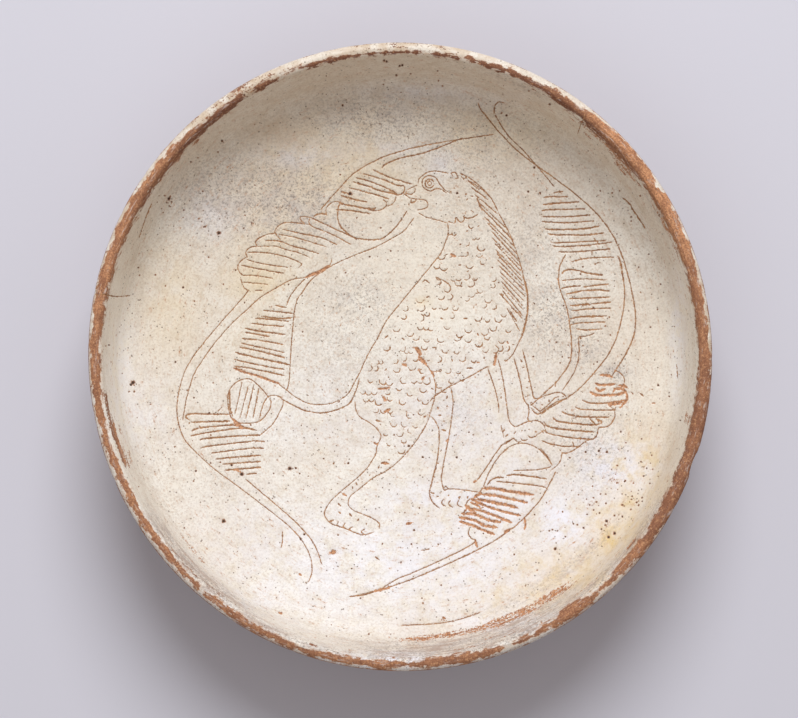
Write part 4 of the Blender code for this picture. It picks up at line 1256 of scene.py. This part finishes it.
def wear(places, seen, across, outline, broken, on_face):
    """What the clay and the slip are like at each place, with painted light and shade among them, by the
    names that the material asks for.
    """
    angle = polar(places)[1]
    degrees = np.degrees(angle) % 360
    stops, *columns = np.array(LIP_WEAR).T
    start, end, patchy, tone, cover = (np.interp(degrees, stops, column) for column in columns)
    ruffle = cloud(places, "ruffle")
    crumble = cloud(places, "crumble")
    worn = np.minimum(outline - start, end - outline) + EDGE_RUFFLE * ruffle + EDGE_CRUMBLE * crumble
    worn -= patchy * PATCH_REACH * np.clip(cloud(places, "gaps") + PATCH_LEVEL, 0, None)
    drip = DRIP_LENGTH + DRIP_SPREAD * cloud(places * DRIP_STRETCH, "drips") + DRIP_CRUMBLE * crumble
    bare_outside = np.where(on_face, -1, (across - drip) / DRIP_SOFTNESS)
    bare = np.maximum(np.maximum(worn / EDGE_SOFTNESS, bare_outside), broken / BROKEN_DEPTH - 1)

    wall_foot_height = floor_height(wall_foot_radius)
    up_the_wall = rise(places[:, 2] - wall_foot_height, THIN_AND_SHADED_WALL_START, THIN_AND_SHADED_WALL_RAMP)
    # Painted shade with thin slip: the far wall turns tan up towards the lip, most where it faces away from
    # the light
    thin_and_shaded_wall = np.clip(THIN_AND_SHADED_WALL * np.sin(angle), 0, 1) * up_the_wall
    near_lip = np.where(on_face, 1, np.clip(1 - across / LIP_REACH, 0, 1))
    on_lip = outline < np.maximum(LEAST_LIP_WIDTH, end)
    chafed = CHAFING * cover * on_lip * near_lip
    cover = cover * np.clip(COVER_LEVEL + COVER_SPREAD * cloud(places, "cover"), LEAST_COVER, 1)
    thin_and_shade = np.where(on_lip, cover, thin_and_shaded_wall)
    rim_line = np.clip(RIM_LINE_REACH - np.abs(outline - RIM_LINE), 0, 1)
    rim_line = rim_line * np.clip(RIM_LINE_LEVEL + RIM_LINE_SPREAD * ruffle, 0, 1)

    # Painted shade on the lip's inner edge, mostly where it faces away from the light, with darker clay
    edge_shade = np.interp(degrees, INNER_EDGE_ANGLES, INNER_EDGE_SHADE)
    tone = tone - edge_shade * rise(outline, INNER_EDGE_START, INNER_EDGE_RAMP)
    tone = OUTSIDE_TONE + (tone - OUTSIDE_TONE) * near_lip + TONE_SPREAD * (ruffle + crumble)
    streak = arcs(RUBBED_ARCS, seen) * (on_face | (outline > STREAKS_FROM))
    # Grey streaks round the pot, the last one painted shade along the outer edge on the lower side; they
    # join the grey patches
    banding_and_shade = arcs(GREY_AND_SHADE_ARCS, seen)
    grime_and_shade = np.maximum(soft_patches(GREY_PATCHES, seen), banding_and_shade)
    outside_grime = np.clip(cloud(places, "dust") + OUTSIDE_GRIME, 0, 1)
    return {
        "bare": np.clip(bare, -1, 1),
        "tone": np.clip(np.where((outline > WITHIN_LIP) & on_face, WITHIN_TONE, tone), 0, 1),
        # Thin slip on the lip and the back, and painted shade on the far wall and the upper floor
        "thin_and_shade": np.where(on_face, np.maximum(thin_and_shade, soft_patches(TAN_AND_SHADE_PATCHES, seen)), OUTSIDE_THINNESS),
        "grime_and_shade": np.where(on_face, grime_and_shade, outside_grime),
        "banding_and_shade": banding_and_shade * on_face,
        "stain": soft_patches(YELLOW_PATCHES, seen) * on_face,
        # Bluish white, partly painted light and painted reflection
        "cool_and_lit": soft_patches(COOL_AND_LIT_PATCHES, seen) * on_face,
        "streak": np.max([streak, soft_patches(SCUFFS, seen), rim_line, chafed], axis=0),
        # Paler slip, and painted light on the left and right walls
        "pale_and_lit": soft_patches(PALE_AND_LIT_PATCHES, seen) * on_face * (outline > PALE_AND_LIT_FROM),
    }


def bowl_mesh():
    """The whole skin, with the looks of each of its points as attributes for the material."""
    relief = Relief()
    points, rim_places = face_points(relief)
    meshed = geometry.delaunay_2d_cdt([Vector(point) for point in points], [], [], 0, SAME_POINT)
    seen, triangles = np.array(meshed[0]), meshed[2]
    face = behind(seen)
    face[:LIP_POINTS] = rim_places
    rows = back_section()
    places = np.vstack([face] + [ring_places(*row) for row in rows] + [[(0, 0, underside(0))]])
    on_face = np.arange(len(places)) < len(face)
    seen = np.vstack((seen, seen_on_grid(places[len(face):])))
    across = along_section(places, on_face)
    outline = from_outline(places, across, on_face)

    depth = np.where(on_face, relief.read(relief.depth, seen), 0)
    out, up = outward(places, on_face)
    stand = unevenness(places, across, on_face) - depth
    radius, angle = polar(places)
    radius, broken = chipped(radius, places[:, 2], angle)
    radius = radius + out * stand
    moved = np.column_stack((radius * np.cos(angle), radius * np.sin(angle), places[:, 2] + up * stand))
    looks = wear(places, seen, across, outline, broken, on_face)
    maps = (("cut", relief.cut, -1), ("dark", relief.dark, 0), ("broad", relief.broad, 0))
    for name, field, elsewhere in maps:
        looks[name] = np.where(on_face, relief.read(field, seen), elsewhere)

    faces = [tuple(triangle) for triangle in triangles]
    previous = list(range(LIP_POINTS))
    number = len(face)
    for _, _, count in rows:
        turn = list(range(number, number + count))
        faces += stitch(previous, turn)
        previous = turn
        number += count
    faces += [(a, number, b) for a, b in zip(previous, previous[1:] + previous[:1])]
    mesh = bpy.data.meshes.new("slipware_bowl")
    mesh.from_pydata(pulled_out_of_round(moved).tolist(), [], faces)
    for name, values in looks.items():
        layer = mesh.attributes.new(name, "FLOAT", "POINT")
        layer.data.foreach_set("value", np.array(values, np.float32))
    mesh.shade_smooth()
    mesh.validate()
    return mesh


# Materials


CREAM = srgb(239, 233, 222)
PALE_AND_LIT_CREAM = srgb(250, 242, 226)
SPECK = srgb(112, 90, 72)
RUBBED_EDGE = srgb(204, 164, 132)
DARK_CLAY = srgb(124, 80, 60)
BRIGHT_CLAY = srgb(214, 154, 110)
CUT_CLAY = srgb(160, 118, 82)
BROAD_CUT_CLAY = srgb(202, 150, 112)
PIT_EDGE = srgb(150, 104, 78)
PIT_MIDDLE = srgb(56, 42, 36)
STUDIO_FLOOR = srgb(206, 204, 212)

# A layer of colour that lies over others in clouds. The size of the clouds is in metres, then come their
# detail and roughness, the levels at which the layer starts and is full, and its strength. It may follow an
# attribute of the mesh, with this much of it everywhere, run around the pot, and have a least share.
Layer = namedtuple(
    "Layer", "colour size detail roughness start full strength follows everywhere around least",
    defaults=(1.0, None, 0.0, False, 0.0),
)
SLIP_LAYERS = [
    Layer(srgb(231, 221, 206), 0.045, 3, 0.55, 0.35, 0.68),
    Layer(srgb(213, 198, 180), 0.006, 4, 0.6, 0.42, 0.72, 0.5),
    Layer(srgb(186, 168, 148), 0.0009, 3, 0.7, 0.44, 0.70, 0.55),
    Layer(srgb(200, 182, 158), 0.0014, 3, 0.6, 0.50, 0.75, 0.4, around=True),
    # Tan where the slip is thin, which on the far wall and the upper floor is painted shade
    Layer(srgb(200, 176, 148), 0.004, 4, 0.6, 0.25, 0.70, follows="thin_and_shade", least=0.55),
    Layer(srgb(226, 198, 140), 0.012, 4, 0.55, 0.22, 0.52, 0.85, "stain"),
]
# Layers over the slip: bluish white that is partly painted light and painted reflection, and greys of dust
# and grime that are partly painted shade
DUST_AND_PAINTED_LIGHT_LAYERS = [
    # Bluish white, partly painted reflection and painted light
    Layer(srgb(238, 238, 248), 0.007, 5, 0.7, 0.30, 0.62, 0.85, "cool_and_lit"),
    # Greys over the grey patches and streaks, partly painted shade along the lower outer edge
    Layer(srgb(176, 168, 168), 0.008, 4, 0.6, 0.35, 0.70, 0.50, "grime_and_shade"),
    Layer(srgb(132, 120, 112), 0.0010, 4, 0.8, 0.50, 0.60, 0.75, "grime_and_shade", 0.15),
    Layer(srgb(160, 130, 112), 0.0017, 4, 0.7, 0.48, 0.60, 0.6, "banding_and_shade", around=True),
]
CLAY_LAYERS = [
    Layer(srgb(130, 82, 58), 0.0010, 3, 0.7, 0.40, 0.62, 0.55, around=True),
    Layer(srgb(112, 70, 50), 0.0007, 3, 0.8, 0.44, 0.58, 0.6),
    Layer(srgb(222, 170, 124), 0.0011, 3, 0.8, 0.54, 0.64, 0.5),
    Layer(srgb(218, 204, 194), 0.0012, 4, 0.75, 0.56, 0.68, 0.6, around=True),
]
PALER_CUTS = Layer(srgb(186, 140, 100), 0.004, 3, 0.55, 0.35, 0.65)
GRIT_IN_CUTS = Layer(srgb(124, 78, 52), 0.0010, 3, 0.55, 0.46, 0.60, 0.7)

# The slip's own grain and mottling, and the specks of grit: cells to the metre, range of distances from a
# cell's middle, the clouds that choose cells with their levels, and strength
GRAIN = (0.0009, 3, 0.7)
MOTTLE = (0.006, 4, 0.6)
SPECK_CELLS = 560.0
SPECK_RANGE = (0.13, 0.22)
SPECK_CLOUDS = (0.0030, 1)
SPECK_LEVELS = (0.52, 0.57)
SPECK_STRENGTH = 0.85

# Edges: clouds that make them ragged, each after its reach, and the ranges over which the mark of an
# attribute turns bare, shows a halo, is cut, and is a pit
BARE_RAGS = (3.6, 0.0018, 5, 0.8)
BARE_RAGS_AROUND = (4.4, 0.0011, 4, 0.75, True)
CUT_RAGS = (2.9, 0.0008, 3, 0.8)
BARE_RANGE = (-0.10, 0.16)
HALO_RANGE = (-0.75, 0.0)
HALO_STRENGTH = 0.5
CUT_RANGE = (-0.05, 0.36)
PIT_RANGE = (0.10, 0.42)
PIT_STRENGTH = 0.9
PIT_MIDDLE_RANGE = (0.28, 0.62)

# Streaks where the slip is rubbed through in crumbs
CRUMBS = (0.0009, 3, 0.8)
CRUMBS_AROUND = (0.0011, 2, 0.6, True)
CRUMBS_AROUND_SHARE = 0.55
STREAK_SHARE = 0.50
RUBBED_LEVEL = 1.17
RUBBED_RANGE = (0.0, 0.07)

# The surface: roughness of slip and of clay, the shares of each thing in the bumps, and their size
SLIP_ROUGHNESS = 0.50
CLAY_ROUGHNESS = 0.85
FLOOR_ROUGHNESS = 0.9
GRAIN_HEIGHT = 0.25
MOTTLE_HEIGHT = 0.5
BARE_DROP = 0.6
SPECK_DROP = 0.5
BUMP_STRENGTH = 0.4
BUMP_DISTANCE = 0.0003
SLIP_IOR = 1.45

# How far a pattern that runs round the pot is stretched: metres for a turn's sine, rise as a share, and the
# radius in metres below which it stays as it is
AROUND_REACH = 0.020
AROUND_RISE = 0.35
LEAST_RADIUS = 0.001


class Shader:
    """A material being wired up, with one short call for each kind of node."""

    def __init__(self, name):
        self.material = bpy.data.materials.new(name)
        self.material.use_nodes = True
        self.tree = self.material.node_tree
        self.surface = self.tree.nodes["Principled BSDF"]
        self.place = self.tree.nodes.new("ShaderNodeTexCoord").outputs["Object"]
        self.around = None
        self.clouds = {}

    def feed(self, socket, value):
        """Links the value to the socket, or sets it there if it is a plain one."""
        if isinstance(value, bpy.types.NodeSocket):
            self.tree.links.new(value, socket)
        else:
            socket.default_value = value

    def connect(self, name, value):
        self.feed(self.surface.inputs[name], value)

    def node(self, kind, inputs=(), output=0, **settings):
        made = self.tree.nodes.new(kind)
        for key, value in settings.items():
            setattr(made, key, value)
        for key, value in dict(inputs).items():
            self.feed(made.inputs[key], value)
        return made.outputs[output]

    def math(self, operation, first, second=0.0, third=0.0):
        return self.node("ShaderNodeMath", {0: first, 1: second, 2: third}, operation=operation)

    def times(self, first, second):
        return self.math("MULTIPLY", first, second)

    def plus(self, first, second):
        return self.math("ADD", first, second)

    def minus(self, first, second):
        return self.math("SUBTRACT", first, second)

    def attribute(self, name):
        return self.node("ShaderNodeAttribute", attribute_name=name, output="Fac")

    def noise(self, size, detail=3.0, roughness=0.55, around=False):
        """Clouds whose features are about this size in metres, made once for each kind that is asked for."""
        kind = (size, detail, roughness, around)
        if kind not in self.clouds:
            inputs = {"Vector": self.around if around else self.place, "Scale": 1 / size,
                      "Detail": detail, "Roughness": roughness}
            self.clouds[kind] = self.node("ShaderNodeTexNoise", inputs, output="Fac")
        return self.clouds[kind]

    def ragged(self, reach, *clouds):
        """Noise about 0 that makes an edge ragged."""
        return self.math("MULTIPLY_ADD", self.noise(*clouds), reach, -reach / 2)

    def ramp(self, value, low, high, low_out=0.0, high_out=1.0):
        inputs = {"Value": value, "From Min": low, "From Max": high, "To Min": low_out, "To Max": high_out}
        return self.node("ShaderNodeMapRange", inputs, interpolation_type="SMOOTHSTEP")

    def mix(self, share, first, second):
        return self.node("ShaderNodeMix", {0: share, 6: first, 7: second}, 2, data_type="RGBA")

    def laid(self, under, *layers):
        """The colour with the layers over it, in their order."""
        for layer in layers:
            clouds = self.noise(layer.size, layer.detail, layer.roughness, layer.around)
            share = self.ramp(clouds, layer.start, layer.full, layer.least * layer.strength, layer.strength)
            if layer.follows:
                share = self.times(share, self.plus(self.attribute(layer.follows), layer.everywhere))
            under = self.mix(share, under, layer.colour)
        return under


def around_pot(s):
    """Coordinates that stretch a pattern round the pot: turning costs little, radius and height a lot."""
    split = s.tree.nodes.new("ShaderNodeSeparateXYZ")
    s.feed(split.inputs[0], s.place)
    x, y, z = split.outputs
    radius = s.math("SQRT", s.plus(s.times(x, x), s.times(y, y)))
    safe = s.math("MAXIMUM", radius, LEAST_RADIUS)
    across, away = [s.times(s.math("DIVIDE", side, safe), AROUND_REACH) for side in (x, y)]
    outwards = s.plus(radius, s.times(z, AROUND_RISE))
    return s.node("ShaderNodeCombineXYZ", {0: across, 1: away, 2: outwards})


def slipware():
    """Cream slip with its stains, grit and painted light and shade, red clay in the cuts and where the lip
    is worn.
    """
    s = Shader("slipware")
    s.around = around_pot(s)
    slip = s.laid(CREAM, *SLIP_LAYERS)
    # Paler slip, and painted light on the left and right walls
    slip = s.mix(s.attribute("pale_and_lit"), slip, PALE_AND_LIT_CREAM)
    slip = s.laid(slip, *DUST_AND_PAINTED_LIGHT_LAYERS)
    cells = s.node("ShaderNodeTexVoronoi", {"Vector": s.place, "Scale": SPECK_CELLS, "Randomness": 1.0},
                   output="Distance")
    specks = s.times(s.ramp(cells, *SPECK_RANGE, 1, 0), s.ramp(s.noise(*SPECK_CLOUDS), *SPECK_LEVELS))
    slip = s.mix(s.times(specks, SPECK_STRENGTH), slip, SPECK)
    clay = s.laid(s.mix(s.attribute("tone"), DARK_CLAY, BRIGHT_CLAY), *CLAY_LAYERS)

    rags = s.plus(s.ragged(*BARE_RAGS), s.ragged(*BARE_RAGS_AROUND))
    bare_mark = s.plus(s.attribute("bare"), rags)
    slip = s.mix(s.ramp(bare_mark, *HALO_RANGE, 0, HALO_STRENGTH), slip, RUBBED_EDGE)
    crumbs = s.plus(s.noise(*CRUMBS), s.times(s.noise(*CRUMBS_AROUND), CRUMBS_AROUND_SHARE))
    rubbed = s.minus(s.plus(s.times(s.attribute("streak"), STREAK_SHARE), crumbs), RUBBED_LEVEL)
    bare = s.math("MAXIMUM", s.ramp(bare_mark, *BARE_RANGE), s.ramp(rubbed, *RUBBED_RANGE))
    cut = s.ramp(s.plus(s.attribute("cut"), s.ragged(*CUT_RAGS)), *CUT_RANGE)
    line_clay = s.mix(s.attribute("broad"), s.laid(CUT_CLAY, PALER_CUTS), BROAD_CUT_CLAY)
    line_clay = s.laid(line_clay, GRIT_IN_CUTS)

    colour = s.mix(cut, s.mix(bare, slip, clay), line_clay)
    pit = s.attribute("dark")
    pit_clay = s.mix(s.ramp(pit, *PIT_MIDDLE_RANGE), PIT_EDGE, PIT_MIDDLE)
    s.connect("Base Color", s.mix(s.ramp(pit, *PIT_RANGE, 0, PIT_STRENGTH), colour, pit_clay))
    s.connect("Roughness", s.ramp(s.math("MAXIMUM", bare, cut), 0, 1, SLIP_ROUGHNESS, CLAY_ROUGHNESS))
    height = s.plus(s.times(s.noise(*GRAIN), GRAIN_HEIGHT), s.times(s.noise(*MOTTLE), MOTTLE_HEIGHT))
    height = s.minus(height, s.times(bare, BARE_DROP))
    height = s.minus(height, s.times(specks, SPECK_DROP))
    bump = {"Height": height, "Strength": BUMP_STRENGTH, "Distance": BUMP_DISTANCE}
    s.connect("Normal", s.node("ShaderNodeBump", bump, output="Normal"))
    s.connect("IOR", SLIP_IOR)
    return s.material


def floor_material():
    s = Shader("studio_floor")
    s.connect("Base Color", STUDIO_FLOOR)
    s.connect("Roughness", FLOOR_ROUGHNESS)
    return s.material


# The scene


# Lights: place in metres, size, power and colour
LIGHTS = {
    "key": ((0.05, 1.16, 1.47), 1.15, 31, (0.95, 0.97, 1.0)),
    "fill": ((-0.4, -1.2, 1.8), 1.6, 5, (0.95, 0.96, 1.0)),
}
SKY_COLOUR = (1.0, 0.95, 0.93, 1.0)
SKY_STRENGTH = 0.36
STUDIO_SIZE = 6.0
VIEW_LIMIT = 50


def add_object(name, data):
    made = bpy.data.objects.new(name, data)
    bpy.context.scene.collection.objects.link(made)
    return made


def add_floor():
    size = STUDIO_SIZE
    mesh = bpy.data.meshes.new("studio_floor")
    corners = [(-size, -size, 0), (size, -size, 0), (size, size, 0), (-size, size, 0)]
    mesh.from_pydata(corners, [], [(0, 1, 2, 3)])
    floor = add_object("studio_floor", mesh)
    mesh.materials.append(floor_material())


def aim(obj, target):
    obj.rotation_euler = (Vector(target) - obj.location).to_track_quat("-Z", "Y").to_euler()


def add_area_light(name, place, size, power, colour):
    data = bpy.data.lights.new(name, "AREA")
    data.shape = "DISK"
    data.size = size
    data.energy = power
    data.color = colour
    light = add_object(name, data)
    light.location = place
    aim(light, (0, 0, lip_height))


def add_lights():
    for name, settings in LIGHTS.items():
        add_area_light(name, *settings)
    world = bpy.data.worlds.new("studio")
    world.use_nodes = True
    sky = world.node_tree.nodes["Background"]
    sky.inputs["Color"].default_value = SKY_COLOUR
    sky.inputs["Strength"].default_value = SKY_STRENGTH
    bpy.context.scene.world = world


def add_camera():
    """The camera is the drawing's eye, aimed so that the bowl falls on its place in the photograph."""
    data = bpy.data.cameras.new("camera")
    data.sensor_fit = "HORIZONTAL"
    data.sensor_width = SENSOR_WIDTH
    data.lens = SENSOR_WIDTH * EYE_DISTANCE / (PHOTO_WIDTH * grid)
    data.clip_end = VIEW_LIMIT
    camera = add_object("camera", data)
    camera.location = eye
    off_x = PHOTO_WIDTH / 2 - LIP_MIDDLE_PIXEL[0]
    off_y = LIP_MIDDLE_PIXEL[1] - PHOTO_HEIGHT / 2
    aim(camera, lip_middle + grid_across * off_x + grid_away * off_y)
    bpy.context.scene.camera = camera


def main():
    mesh = bowl_mesh()
    bowl = add_object("slipware_bowl", mesh)
    mesh.materials.append(slipware())
    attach(bowl, "root")
    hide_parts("bowl")
    add_floor()
    add_lights()
    add_camera()
    bpy.context.scene.view_settings.view_transform = "Standard"
    print("slipware_bowl triangles", sum(len(p.vertices) - 2 for p in mesh.polygons))


main()
